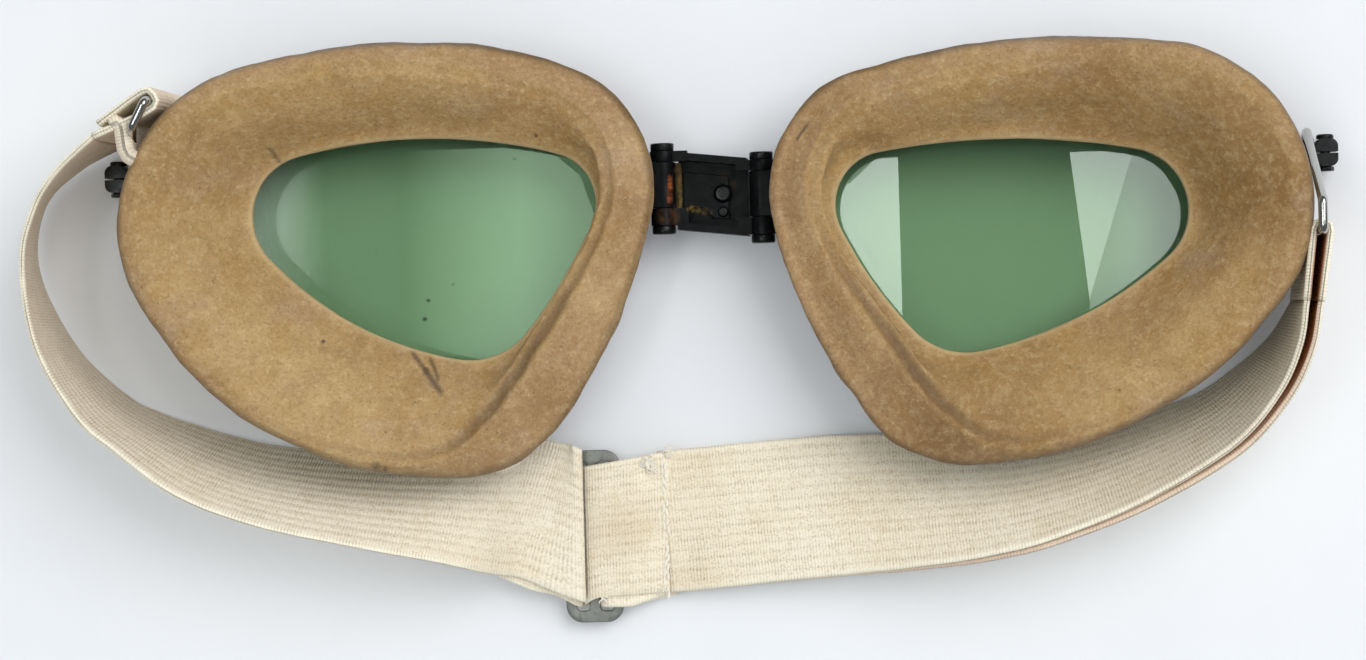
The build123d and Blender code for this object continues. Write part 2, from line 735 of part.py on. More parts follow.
def fold(name, points):
    """Webbing drawn from above as a line of even thickness and raised by its width."""
    height = points[0].Z - web_width / 2
    with BuildPart() as builder:
        with BuildSketch(Plane.XY.offset(height)):
            with BuildLine() as line:
                FilletPolyline(*[(p.X, p.Y) for p in points], radius=fold_radius)
            trace(line.line, line_width=web)
        extrude(amount=web_width)
    finish(builder, name)


fold_radius = wire_radius + web / 2
fold_reach = fold_radius + web_gap
ahead = left_planes[-1].z_dir
aside = Vector(-ahead.Y, ahead.X, 0)
start, bar = left_planes[-1].origin, crossbar(-1)
fold("strap_left_end", [
    start + ahead * web_gap,
    bar - aside * fold_reach - ahead * 2 * web,
    bar - aside * fold_reach + ahead * fold_reach,
    bar + aside * fold_reach + ahead * fold_reach,
    bar + aside * fold_reach - ahead * 2 * web,
    start + ahead * 2 * web + aside * (web + web_gap),
])

ahead = outer_planes[-1].z_dir
aside = Vector(-ahead.Y, ahead.X, 0)
bar = crossbar(1)
fold("strap_right_end", [
    outer_planes[-1].origin + ahead * web_gap,
    bar - aside * fold_reach + ahead * fold_reach,
    bar + aside * fold_reach + ahead * fold_reach,
    inner_planes[-1].origin + ahead * web_gap,
])

# Box of the whole, for the origin
whole = Compound(children=pieces).bounding_box()
print("box", whole.min, whole.max, "middle", whole.center())
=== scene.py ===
import json
import math
from contextlib import contextmanager

import bpy
import numpy as np
from mathutils import Matrix, Vector, noise

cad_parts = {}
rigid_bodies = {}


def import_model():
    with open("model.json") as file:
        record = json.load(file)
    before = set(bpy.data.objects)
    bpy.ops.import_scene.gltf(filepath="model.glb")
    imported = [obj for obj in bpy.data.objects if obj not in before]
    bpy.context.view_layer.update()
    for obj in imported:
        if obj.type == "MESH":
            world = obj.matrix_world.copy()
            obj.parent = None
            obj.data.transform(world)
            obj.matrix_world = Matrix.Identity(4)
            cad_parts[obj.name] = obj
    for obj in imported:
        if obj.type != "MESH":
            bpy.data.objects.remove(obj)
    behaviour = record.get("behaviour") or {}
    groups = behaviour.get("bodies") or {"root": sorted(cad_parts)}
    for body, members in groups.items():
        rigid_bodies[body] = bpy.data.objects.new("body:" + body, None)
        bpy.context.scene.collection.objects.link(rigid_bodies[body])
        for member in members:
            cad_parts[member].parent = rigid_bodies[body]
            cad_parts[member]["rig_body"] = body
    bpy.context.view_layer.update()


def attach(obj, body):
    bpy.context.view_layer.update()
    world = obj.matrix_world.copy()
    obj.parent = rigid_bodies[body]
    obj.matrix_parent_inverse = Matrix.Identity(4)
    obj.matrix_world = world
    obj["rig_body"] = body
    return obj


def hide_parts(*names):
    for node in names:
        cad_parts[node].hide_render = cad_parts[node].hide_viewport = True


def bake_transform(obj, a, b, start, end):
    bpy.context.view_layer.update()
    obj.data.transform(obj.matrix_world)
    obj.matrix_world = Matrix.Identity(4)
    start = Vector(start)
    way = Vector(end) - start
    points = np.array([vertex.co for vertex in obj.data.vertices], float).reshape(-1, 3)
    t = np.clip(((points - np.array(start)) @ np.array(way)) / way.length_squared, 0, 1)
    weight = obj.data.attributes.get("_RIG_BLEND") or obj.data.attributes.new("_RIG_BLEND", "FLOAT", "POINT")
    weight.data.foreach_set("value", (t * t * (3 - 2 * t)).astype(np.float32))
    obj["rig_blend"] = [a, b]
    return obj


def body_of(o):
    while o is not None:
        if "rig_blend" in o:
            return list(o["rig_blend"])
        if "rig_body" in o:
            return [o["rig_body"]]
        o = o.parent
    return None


bl_info = {
    "name": "Aviator goggles",
    "version": (1, 0, 0),
    "blender": (4, 5, 0),
    "location": "3D View > Sidebar > Goggles",
    "description": "Dresses the packed goggles: leather cushions, webbing, enamel, glass and stage",
    "category": "Object",
}

MM = 0.001
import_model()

# Places in the goggles' own plan: x from the middle of the nose, y from mid height, millimetres.
NOSE = (6.4, 13.8)
SIDE_STEP = 2.0  # the left cup stands this much nearer the brow
CUP_MIDDLE = (54.0, 2.0)  # inside every outline of a cup, from which its rays run
CREST_MIDDLE_X = 56.0
CREST_TILT = math.tan(math.radians(6.3))
BASE_Z, WIDE_Z, CREST_Z, LIP_Z = 13.2, 17.6, 23.6, 14.2
RAYS, SECTION_POINTS = 560, 60  # sections round a cushion, and points along each
CREASE_TURN = math.radians(222)  # where the crease is deepest, low beside the nose
# The right cushion's bulge over its band: its height in mm, and its place and width in degrees.
NOSE_BULGE, BULGE_TURN, BULGE_SPREAD = 1.3, 237, 17

# Each outline is three corners (x, y, radius) and the radii of the bulged sides between them.
LEFT_LINES = {
    "wide": ([(31.5, 11.2, 22.1), (45.9, -13.8, 24.9), (73.7, 6.0, 27.8)], (99.9, 59.1, 89.7)),
    "hole": ([(28.9, 8.4, 8.9), (42.4, -5.8, 12.6), (69.6, 7.4, 10.7)], (99.9, 59.4, 89.8)),
}
RIGHT_LINES = {
    "wide": ([(31.7, 11.0, 21.3), (46.7, -11.5, 25.1), (74.7, 7.2, 27.6)], (69.4, 68.7, 123.1)),
    "hole": ([(30.7, 8.5, 9.1), (43.7, -5.1, 12.3), (71.3, 6.2, 10.6)], (69.9, 69.4, 121.5)),
}
# How far the crest lies in from the widest line: angle round the cup from the temple, and inset.
CREST_INSET = ((0, 1.5), (40, 1.7), (75, 2.8), (100, 3.6), (140, 5.2), (180, 6.8), (215, 8.6),
               (234, 9.0), (247, 6.8), (257, 3.6), (267, 2.1), (290, 1.5), (325, 1.4), (360, 1.5))
# Pale patches and dark ones, in the cup's own plan: x, y, radius and amount. They are partly rubbed and
# greasy leather and partly painted light and shade: lit slopes, a painted highlight and shaded walls.
TONES = {
    -1: [(84.2, 1.9, 7, 0.5), (81.9, -12.1, 8, 0.6), (71.7, -24.5, 9, 0.5), (63.1, -30.7, 9, 0.6),
         (49.2, -32.8, 6, 0.3), (19.1, -8.6, 5.5, 0.7), (11.4, 16.9, 5, 0.8), (49.2, 31.9, 6, 0.3),
         (15.1, 8.4, 4, -0.4), (26.5, -26.5, 6, -0.5), (92.5, -11.8, 3.5, -0.5),
         (88.1, 19.3, 6, -0.4), (25.1, 24.2, 6, -0.2), (40.5, -32.2, 4, -0.4)],
    1: [(69.3, -21.1, 8, 0.5), (81.3, -11.2, 5, 0.3), (19.1, 4.2, 4, 0.4), (62.4, -27.7, 5, 0.3),
        (32.0, -21.8, 4.5, -0.5), (38.5, -32.2, 8, -1.0), (48.9, -25.6, 6, -0.5),
        (92.0, 10.5, 9, -0.8), (98.6, 6.9, 7, -0.8), (67.3, 29.9, 10, -0.6),
        (33.4, 28.5, 8, -0.2), (25.0, 10.0, 6, 0.4), (29.0, -10.0, 6, 0.2), (53.6, -36.8, 7, -0.6),
        (84.0, 22.6, 8, -0.5)],
}
# Scratches in the leather: a line in the cup's own plan and its half width, millimetres.
SCRATCHES = {
    -1: [(76.5, 19.4, 74.3, 15.2, 0.5), (52.6, -17.0, 50.1, -20.2, 0.6),
         (50.1, -20.2, 47.4, -23.8, 0.9), (49.6, -18.0, 48.0, -21.4, 0.5)],
    1: [(12.6, 22.4, 16.4, 26.6, 0.35), (15.4, 20.0, 17.4, 22.6, 0.35)],
}
# The marks that each row of a cushion carries; its scratches are added last.
LEATHER_MARKS = ("outer", "crease", "lip", "dark_wide_line", "rubbed", "oiled_and_shaded")

WEB_WIDTH = 25.0
WEB_STEP, WEB_COLUMNS = 1.1, 58  # length between its rows of points, and points across one face
WEB_EDGE = 0.45  # how far its rounded edges reach in
PATH_STEP = 1.2  # the longest step between stations of a folded path
ROW_PITCH, WEFT_PITCH = 1.8, 0.55  # its lengthwise rows, and the weft threads that cross them
WAVE_BAND = 0.31416  # the scale at which a wave texture's bands lie one metre apart
# Marks on the webbing: stains and soil, and two of painted shade: a pinkish tint on the faces turned to the
# cushions and reddish brown in the gaps between layers.
WEB_MARKS = ("stain", "rosy", "rubber", "soil")

# The inputs of a map range node: two levels, and the two values that they become.
SPAN = ("From Min", "From Max", "To Min", "To Max")

# Webbing runs: x, y, height of the middle, heading in plan and lean out of upright, degrees.
LEFT_RUN = [
    (-31.6, -44.4, 5.7, 162, -88),
    (-37.0, -43.3, 6.6, 167, -77),
    (-45.5, -42.7, 9.4, 171, -55),
    (-61.4, -41.3, 10.6, 173, -40),
    (-77.8, -38.8, 11.7, 168, -31),
    (-90.5, -34.8, 12.4, 159, -25),
    (-101.6, -28.8, 13.0, 148, -15),
    (-108.5, -23.8, 13.3, 138, -10),
    (-116.4, -13.0, 13.5, 119, -1),
    (-120.5, 0.8, 13.6, 95, 9),
    (-118.8, 11.0, 13.7, 66, 11),
    (-113.3, 17.6, 14.15, 42, 6),
    (-105.3, 22.9, 14.8, 31, 0),
]
ACROSS_PLAN = np.array([0, -1.0, 0])  # the way of the webbing's width where it lies flat
# Where the left run folds into the slider: x, y, height and stretch of the width.
LEFT_FOLD = ((-24.5, -47.1, 5.35, 1.06), (-24.75, -47.05, 5.95, 1.09), (-26.0, -46.6, 6.15, 1.08))
# The right run's two layers have the distance between them as a sixth value.
RIGHT_RUN = [
    (-2.16, -46.4, 2.7, 5, 84, 1.35),
    (22.2, -44.6, 4.65, 5, 75, 1.35),
    (48.0, -43.8, 9.07, 6, 50, 1.4),
    (61.2, -41.4, 10.6, 11, 40, 1.51),
    (73.0, -37.8, 11.8, 20, 31, 1.62),
    (86.0, -31.9, 12.5, 34, 22, 1.84),
    (93.9, -25.1, 12.9, 48, 15, 2.05),
    (98.8, -18.4, 13.9, 64, 7, 2.27),
    (101.5, -11.3, 14.9, 84, 0, 2.38),
]


def part_point(x, y, z):
    """A place in the goggles' plan, in the frame's metres."""
    return Vector(((x + NOSE[0]) * MM, (y + NOSE[1]) * MM, z * MM))


def linear(code):
    """An sRGB hex colour, or one already linear, as the linear colour that a shader takes."""
    if not isinstance(code, str):
        return (*code, 1.0)
    levels = [int(code[i : i + 2], 16) / 255 for i in (1, 3, 5)]
    return (*(level / 12.92 if level <= 0.04045 else ((level + 0.055) / 1.055) ** 2.4
              for level in levels), 1.0)


# Outlines and sections of the soft pieces


def bulge_middle(first, second, radius):
    """The middle of the bulged side's arc, which holds both corner circles inside it."""
    one, two = radius - first[2], radius - second[2]
    step = np.array(second[:2]) - np.array(first[:2])
    gap = math.hypot(*step)
    along = (one**2 - two**2 + gap**2) / (2 * gap)
    across = math.sqrt(one**2 - along**2)
    return np.array(first[:2]) + (step * along + np.array([-step[1], step[0]]) * across) / gap


def outline_reach(line, angles):
    """How far an outline lies from the cup's middle along rays at the given angles."""
    corners, bulges = line
    middles = [bulge_middle(corners[i], corners[(i + 1) % 3], bulges[i]) for i in range(3)]
    places = []

    def turn(start, through):
        return math.atan2(through[1] - start[1], through[0] - start[0])

    def add_arc(middle, radius, begin, end):
        while end < begin:
            end += 2 * math.pi
        for angle in np.linspace(begin, end, 80):
            places.append((middle[0] + radius * math.cos(angle),
                           middle[1] + radius * math.sin(angle)))

    for i in range(3):
        corner, following = corners[i], corners[(i + 1) % 3]
        before, after = middles[i - 1], middles[i]
        add_arc(corner, corner[2], turn(before, corner), turn(after, corner))
        add_arc(after, bulges[i], turn(after, corner), turn(after, following))
    rays = np.array(places) - np.array(CUP_MIDDLE)
    around = np.mod(np.arctan2(rays[:, 1], rays[:, 0]), 2 * math.pi)
    order = np.argsort(around)
    return np.interp(angles, around[order], np.hypot(rays[:, 0], rays[:, 1])[order],
                     period=2 * math.pi)


def smooth_line(points, count):
    """Points spaced evenly along a Catmull-Rom line through the given ones."""
    points = np.array(points, float)
    ends = np.vstack([2 * points[0] - points[1], points, 2 * points[-1] - points[-2]])
    fine = []
    for i in range(len(points) - 1):
        a, b, c, d = ends[i : i + 4]
        for t in np.linspace(0, 1, 24, endpoint=False):
            fine.append(0.5 * (2 * b + (c - a) * t + (2 * a - 5 * b + 4 * c - d) * t**2
                               + (3 * b - a - 3 * c + d) * t**3))
    fine = np.array(fine + [points[-1]])
    run = np.r_[0, np.cumsum(np.linalg.norm(np.diff(fine[:, :3], axis=0), axis=1))]
    even = np.linspace(0, run[-1], count)
    return np.stack([np.interp(even, run, fine[:, k]) for k in range(fine.shape[1])], axis=1)


def grid_object(name, points, ring, marks=None, spread=None):
    """A mesh of closed rows, which end in caps or form a ring, with named values and a layout."""
    rows, columns = points.shape[:2]
    numbers = np.arange(rows * columns).reshape(rows, columns)
    following = np.roll(numbers, -1, 0)
    corners = np.stack([numbers, following, np.roll(following, -1, 1), np.roll(numbers, -1, 1)], 2)
    faces = corners[: rows if ring else rows - 1].reshape(-1, 4).tolist()
    if not ring:
        faces += [numbers[0].tolist(), numbers[-1, ::-1].tolist()]
    mesh = bpy.data.meshes.new(name)
    mesh.from_pydata(points.reshape(-1, 3).tolist(), [], faces)
    for key, values in (marks or {}).items():
        layer = mesh.attributes.new(key, "FLOAT", "POINT")
        layer.data.foreach_set("value", np.asarray(values, np.float32).reshape(-1))
    if spread is not None:
        flat = mesh.uv_layers.new(name="Flat")
        flat_points = np.asarray(spread, np.float32).reshape(-1, 2)
        used = np.zeros(len(mesh.loops), np.int32)
        mesh.loops.foreach_get("vertex_index", used)
        flat.data.foreach_set("uv", flat_points[used].reshape(-1))
    mesh.shade_smooth()
    thing = placed(name, mesh)
    with edited(thing):
        bpy.ops.mesh.normals_make_consistent(inside=False)
    return thing


def placed(name, data):
    """A new object in the scene."""
    thing = bpy.data.objects.new(name, data)
    bpy.context.collection.objects.link(thing)
    return thing


def alone(thing):
    """Make a thing the only one selected and the active one."""
    bpy.ops.object.select_all(action="DESELECT")
    thing.select_set(True)
    bpy.context.view_layer.objects.active = thing


@contextmanager
def edited(thing):
    """Edit mode on one thing with all of it selected."""
    alone(thing)
    bpy.ops.object.mode_set(mode="EDIT")
    bpy.ops.mesh.select_all(action="SELECT")
    yield
    bpy.ops.object.mode_set(mode="OBJECT")


def modified(thing, kind, **settings):
    """Add a modifier with its settings and apply it."""
    change = thing.modifiers.new(kind.title(), kind)
    for key, value in settings.items():
        setattr(change, key, value)
    bpy.ops.object.modifier_apply(modifier=change.name)


def bump_at(place, size, seed):
    """Smooth noise from -1 to 1 at a place, with lumps of the given size."""
    return noise.noise(Vector(place) / size + Vector((seed, seed * 0.7, seed * 1.3)))


# Materials


def linked(node, links):
    """Link a node's inputs, each to another node's first output or to a node and its output."""
    for key, source in links.items():
        source, output = source if isinstance(source, tuple) else (source, 0)
        node.id_data.links.new(source.outputs[output], node.inputs[key])
    return node


def add_node(tree, kind, settings=None, links=None):
    """Add a shader node; keys are its properties, or its inputs by name or number."""
    node = tree.nodes.new("ShaderNode" + kind)
    for key, value in (settings or {}).items():
        if isinstance(key, str) and hasattr(node, key):
            setattr(node, key, value)
        else:
            node.inputs[key].default_value = value
    return linked(node, links or {})


def finish(name, colour, **settings):
    """A new material of one colour, with its tree, its shader and its coordinates."""
    made = bpy.data.materials.new(name)
    made.use_nodes = True
    tree = made.node_tree
    shader = tree.nodes["Principled BSDF"]
    shader.inputs["Base Color"].default_value = linear(colour)
    for key, value in settings.items():
        shader.inputs[key.replace("_", " ")].default_value = value
    return made, tree, shader, (add_node(tree, "TexCoord"), "Object")


def patchy(tree, place, size, detail, *span):
    """A value in patches: noise of a size in mm, spread as the span says."""
    noisy = add_node(tree, "TexNoise", {"Scale": 1 / (size * MM), "Detail": detail},
                     {"Vector": place})
    return add_node(tree, "MapRange", dict(zip(SPAN, span)), {"Value": noisy})


def stained(tree, place, base, layers):
    """Colours laid one over another; each by noise of a size in mm, or by a named mark.

    A layer is what it follows, the two levels it spreads between, its colour and its strength.
    """
    links = {}
    for follows, low, high, colour, strength in layers:
        if isinstance(follows, str):
            source = (add_node(tree, "Attribute", {"attribute_name": follows}), "Fac")
        else:
            source = add_node(tree, "TexNoise",
                              {"Scale": 1 / (follows * MM), "Detail": 5.0, "Roughness": 0.6},
                              {"Vector": place})
        links[0] = add_node(tree, "MapRange", dict(zip(SPAN, (low, high, 0.0, strength))),
                            {"Value": source})
        mixed = add_node(tree, "Mix", {"data_type": "RGBA", 6: linear(base), 7: linear(colour)},
                         links)
        links[6] = (mixed, 2)
    return links[6]


def spotted(tree, place, under, spots, colour, breakup=0.0):
    """Stains at known places: x and y in the goggles' plan and radius in mm, then strength."""
    flat = add_node(tree, "VectorMath", {"operation": "MULTIPLY", 1: (1, 1, 0)}, {0: place})
    links = {}
    for x, y, radius, strength in spots:
        away = add_node(tree, "VectorMath", {"operation": "DISTANCE", 1: part_point(x, y, 0)},
                        {0: flat})
        span = (radius * 0.35 * MM, radius * MM, strength, 0.0)
        links[0] = add_node(tree, "MapRange", dict(zip(SPAN, span)), {"Value": (away, "Value")})
        links[1] = add_node(tree, "Math", {"operation": "MAXIMUM", 1: 0.0}, links)
    total = links[1]
    if breakup:
        total = add_node(tree, "Math", {"operation": "MULTIPLY"},
                         {0: total, 1: patchy(tree, place, breakup, 4.0, 0.36, 0.60, 0.15, 1.0)})
    mixed = add_node(tree, "Mix", {"data_type": "RGBA", 7: linear(colour)}, {0: total, 6: under})
    return mixed, 2


def roughened(tree, place, shader, sizes):
    """Fine relief from noise; each size in mm comes with its height in mm."""
    links = {}
    for size, height in sizes:
        noisy = add_node(tree, "TexNoise",
                         {"Scale": 1 / (size * MM), "Detail": 3.0, "Roughness": 0.6},
                         {"Vector": place})
        links = {"Normal": add_node(tree, "Bump", {"Strength": 1.0, "Distance": height * MM},
                                    {"Height": noisy, **links})}
    linked(shader, links)


def worn_finish(name, colour, stains, relief=(), spots=(), dulled=None, **settings):
    """A finish of one shader with stains, fine relief, spots at known places and dull patches.

    Each group of spots comes with its colour and the size in mm of the noise that breaks it up.
    """
    made, tree, shader, place = finish(name, colour, **settings)
    under = stained(tree, place, colour, stains)
    for group, spot_colour, breakup in spots:
        under = spotted(tree, place, under, group, spot_colour, breakup)
    linked(shader, {"Base Color": under})
    if dulled:
        linked(shader, {"Roughness": patchy(tree, place, *dulled)})
    roughened(tree, place, shader, relief)
    return made


# Dark spots on the leather: x and y in the goggles' plan, radius in mm, and strength.
LEATHER_SPOTS = [(-29.9, 21.2, 0.45, 0.9), (-67.8, -13.4, 0.5, 0.8), (-58.0, -35.3, 1.3, 0.7),
                 (-56.8, -35.6, 0.9, 0.6)]


def chamois(looks):
    """Sueded tan leather, rubbed bare and greasy: matt, with a soft pale nap and dark seams, and with
    painted light and shade in its patches, its crease and its sheen.
    """
    return worn_finish("Chamois leather, sueded and worn", looks.leather_colour, [
        (34.0, 0.38, 0.66, "#8F6934", 0.55),
        (12.0, 0.42, 0.72, "#C0A16B", 0.55),
        ("outer", 0.0, 1.0, "#A2805F", 0.55),
        # Pale and dark patches: partly rubbed and greasy leather, partly painted highlight and painted
        # shade.
        ("rubbed", 0.0, 1.0, "#CAAD79", 0.60),
        ("oiled_and_shaded", 0.0, 1.0, "#75511F", 0.62),
        (4.5, 0.45, 0.75, "#86653A", 0.42),
        # Pinkish-grey patches at random: a painted sheen.
        (17.0, 0.54, 0.66, "#AF957A", 0.45),
        (8.0, 0.50, 0.64, "#A47D3B", 0.32),
        (1.7, 0.47, 0.75, "#CFB686", 0.40),
        (0.80, 0.54, 0.68, "#DCC79E", 0.25),
        (0.50, 0.48, 0.68, "#6C4F2B", 0.36),
        (1.0, 0.66, 0.74, "#4A3721", 0.45),
        # A thin band along the widest line is darkened, most on the top side.
        ("dark_wide_line", 0.0, 1.0, "#3B2A14", 0.80),
        # The crease is darkened: painted shade, with some dirt.
        ("crease", 0.0, 1.0, "#4F3726", 0.66),
        ("lip", 0.0, 1.0, "#D6BE8E", 0.75),
        ("scratch", 0.0, 1.0, "#43342A", 0.80),
    ], [(2.4, 0.22), (0.8, 0.12)], [(LEATHER_SPOTS, "#332A20", 1.0)],
        Roughness=0.62, Specular_IOR_Level=0.38, Sheen_Weight=0.08, Sheen_Roughness=0.5)


def webbing(looks):
    """Elastic webbing woven from cotton over rubber: matt cream, ribbed, darker in the grooves, with painted
    shade on the faces turned to the cushions and in the gaps between layers, and a painted highlight on its
    edges.
    """
    made, tree, shader, place = finish("Cotton webbing, woven and soiled", looks.webbing_colour,
                                       Roughness=0.9, Specular_IOR_Level=0.15)
    flat = add_node(tree, "UVMap", {"uv_map": "Flat"})
    # The rows of the weave run lengthwise, and the finer weft crosses them.
    rows, weft = (
        (add_node(tree, "TexWave",
                  {"wave_type": "BANDS", "bands_direction": way, "Scale": WAVE_BAND / (pitch * MM),
                   "Distortion": uneven, "Detail": 2.0, "Detail Scale": detail}, {"Vector": flat}), 1)
        for way, pitch, uneven, detail in (("Y", ROW_PITCH, 0.9, 0.6), ("X", WEFT_PITCH, 2.2, 0.4)))
    # Beside each row's edge the weft threads part, which shows as short dark strokes across it.
    beside, strokes, line = (
        add_node(tree, "MapRange", dict(zip(SPAN, span)), {"Value": source})
        for source, *span in ((rows, 0.05, 0.62, 1.0, 0.38), (weft, 0.12, 0.60, 1.0, 0.0),
                              (rows, 0.0, 0.10, 0.30, 0.0)))
    clear = patchy(tree, place, 3.5, 3.0, 0.35, 0.68, 0.25, 1.0)
    stroke = add_node(tree, "Math", {"operation": "MULTIPLY"}, {0: beside, 1: strokes})
    parted = add_node(tree, "Math", {"operation": "MULTIPLY"}, {0: stroke, 1: clear})
    depth = add_node(tree, "Math", {"operation": "MAXIMUM"}, {0: parted, 1: line})
    thread = add_node(tree, "Math", {"operation": "MULTIPLY_ADD", 1: 0.6}, {0: weft, 2: rows})
    weave = add_node(tree, "Math", {"operation": "MULTIPLY_ADD", 1: -0.7}, {0: depth, 2: thread})
    under = stained(tree, place, looks.webbing_colour, [
        (26.0, 0.46, 0.70, "#E9DABB", 0.60),
        (4.0, 0.55, 0.75, "#E0CFAB", 0.40),
        (0.7, 0.52, 0.70, "#FFFAEC", 0.45),
        (0.4, 0.52, 0.64, "#B59A6C", 0.42),
        # The edges are lightened: a painted highlight.
        ("selvedge_highlight", 0.0, 1.0, "#FFF8E2", 0.75),
        ("stain", 0.0, 1.0, "#B79A66", 0.60),
        # A pinkish tint painted as shade on the faces turned to the cushions.
        ("rosy", 0.0, 1.0, "#E4C9B4", 0.80),
        # Reddish-brown painted shade deep in the gap where two layers of webbing part.
        ("rubber", 0.0, 1.0, "#9C5829", 0.95),
        ("soil", 0.0, 1.0, "#6F5C42", 0.60),
    ])
    sunk = add_node(tree, "Math", {"operation": "MULTIPLY", 1: 0.45}, {0: depth})
    grooves = add_node(tree, "Mix", {"data_type": "RGBA", 7: linear("#A58C62")},
                       {0: sunk, 6: under})
    relief = add_node(tree, "Bump", {"Strength": 1.0, "Distance": 0.07 * MM}, {"Height": weave})
    linked(shader, {"Base Color": (grooves, 2), "Normal": relief})
    return made


WORN_EDGE_Y, WORN_EDGE_LENGTH = 6.4, 9.8  # the bare edge of the channel's web, from its lower end
# Rust on the nose bridge: orange where the lug wore through, brown and yellow elsewhere.
ORANGE_RUST = [(-7.2, 13.6, 0.5, 0.7), (-7.25, 13.0, 0.55, 0.9), (-7.3, 12.3, 0.6, 1.0),
               (-7.3, 11.7, 0.6, 1.0), (-7.3, 11.1, 0.6, 1.0), (-7.35, 10.5, 0.6, 1.0),
               (-7.4, 9.9, 0.6, 1.0), (-7.4, 9.3, 0.6, 0.9),
               (-6.1, 14.6, 0.6, 0.5), (-6.15, 12.4, 0.4, 0.5), (-6.15, 10.6, 0.4, 0.5)]
BROWN_RUST = [(-8.6, 6.8, 1.7, 0.9), (-7.3, 6.6, 1.9, 1.0), (1.9, 13.6, 1.2, 0.45),
              (3.3, 12.0, 1.1, 0.35), (-6.0, 14.8, 0.9, 0.5), (-6.2, 8.3, 0.8, 0.6)]
YELLOW_RUST = [(-3.9, 8.0, 0.8, 0.75), (-2.9, 7.8, 0.7, 0.75), (-1.6, 7.5, 0.8, 0.6),
               (-0.7, 7.3, 0.6, 0.4)]


def enamel(looks, name, rusting):
    """Stove enamel on steel: near black and half glossy, chalky where rubbed, rusting in spots."""
    rust = [(BROWN_RUST, "#4C3320", 2.2), (YELLOW_RUST, "#8D7038", 1.6),
            (ORANGE_RUST, "#93502A", 0.7)]
    return worn_finish(name, looks.enamel_colour, [
        (5.0, 0.48, 0.72, "#1B1E21", 0.7),
        (1.3, 0.62, 0.76, "#2E302F", 0.5),
        (0.5, 0.70, 0.78, "#5A5648", 0.35),
    ], [(1.3, 0.045)], rust if rusting else (), (2.2, 4.0, 0.35, 0.7, 0.24, 0.48),
        Roughness=0.34, Specular_IOR_Level=0.10 if rusting else 0.30)


# Soft pieces


def cushion_row(angle, wide, crest, hole, side):
    """A cushion's section along one ray of its plan: points in mm, and the marks on them."""
    ahead_x, ahead_y = math.cos(angle), math.sin(angle)
    nose_share, top_share = 0.5 - 0.5 * ahead_x, max(0.0, ahead_y)
    crest_z = CREST_Z + (CUP_MIDDLE[0] + crest * ahead_x - CREST_MIDDLE_X) * CREST_TILT
    low_nose = max(0.0, math.cos(angle - CREASE_TURN)) ** 2
    groove = 0.30 + 1.1 * low_nose
    roll = 0.7 + 1.5 * low_nose + 0.5 * top_share
    section = smooth_line([
        (wide - 4.5, BASE_Z), (wide - 2.4, BASE_Z + 0.1), (wide - 0.8, BASE_Z + 1.6),
        (wide, WIDE_Z), (crest + (wide - crest) * 0.62 + 0.5, crest_z - 2.6),
        (crest + 0.3, crest_z - 0.35), (crest - roll * 0.5, crest_z - 0.15),
        (crest - roll, crest_z - groove), (crest - roll - 1.9, crest_z - groove * 0.9 - 0.1),
        (hole + (crest - hole) * 0.5, LIP_Z + (crest_z - LIP_Z) * 0.66),
        (hole + 2.6, LIP_Z + 1.5), (hole + 0.5, LIP_Z + 0.2), (hole, LIP_Z - 0.5),
        (hole + 0.5, BASE_Z), (hole + 3.0, BASE_Z),
    ], SECTION_POINTS)
    reach, z = section.T
    x, y = CUP_MIDDLE[0] + reach * ahead_x, CUP_MIDDLE[1] + reach * ahead_y
    on_wall = np.arange(SECTION_POINTS) < np.argmax(z)
    outer = np.where(on_wall, 1.0, np.clip((reach - crest + 1.0) / 3.0, 0, 1))
    dent = np.exp(-(((reach - crest + roll + 0.2) / (0.4 + 0.8 * low_nose)) ** 2))
    edge = np.exp(-(((wide - reach) / 0.85) ** 2)) * on_wall
    toned = sum(amount * np.exp(-((x - tone_x) ** 2 + (y - tone_y) ** 2) / radius**2)
                for tone_x, tone_y, radius, amount in TONES[side])
    return np.c_[x, y, z], (
        outer * (0.55 + 0.45 * nose_share),
        # Painted shade along the crease inside the crest, with some dirt.
        np.where(on_wall | (z < BASE_Z + 3), 0, dent) * (0.25 + 0.75 * low_nose**2 - 0.1 * top_share),
        np.exp(-(((reach - hole) / 0.55) ** 2)) * (z > BASE_Z + 0.3),
        # A thin darkened band along the widest line, most on the top side.
        edge * (0.6 + 0.4 * top_share),
        # The pale and dark patches, partly painted light and shade.
        np.clip(toned, 0, 1),
        np.clip(-toned, 0, 1),
    )


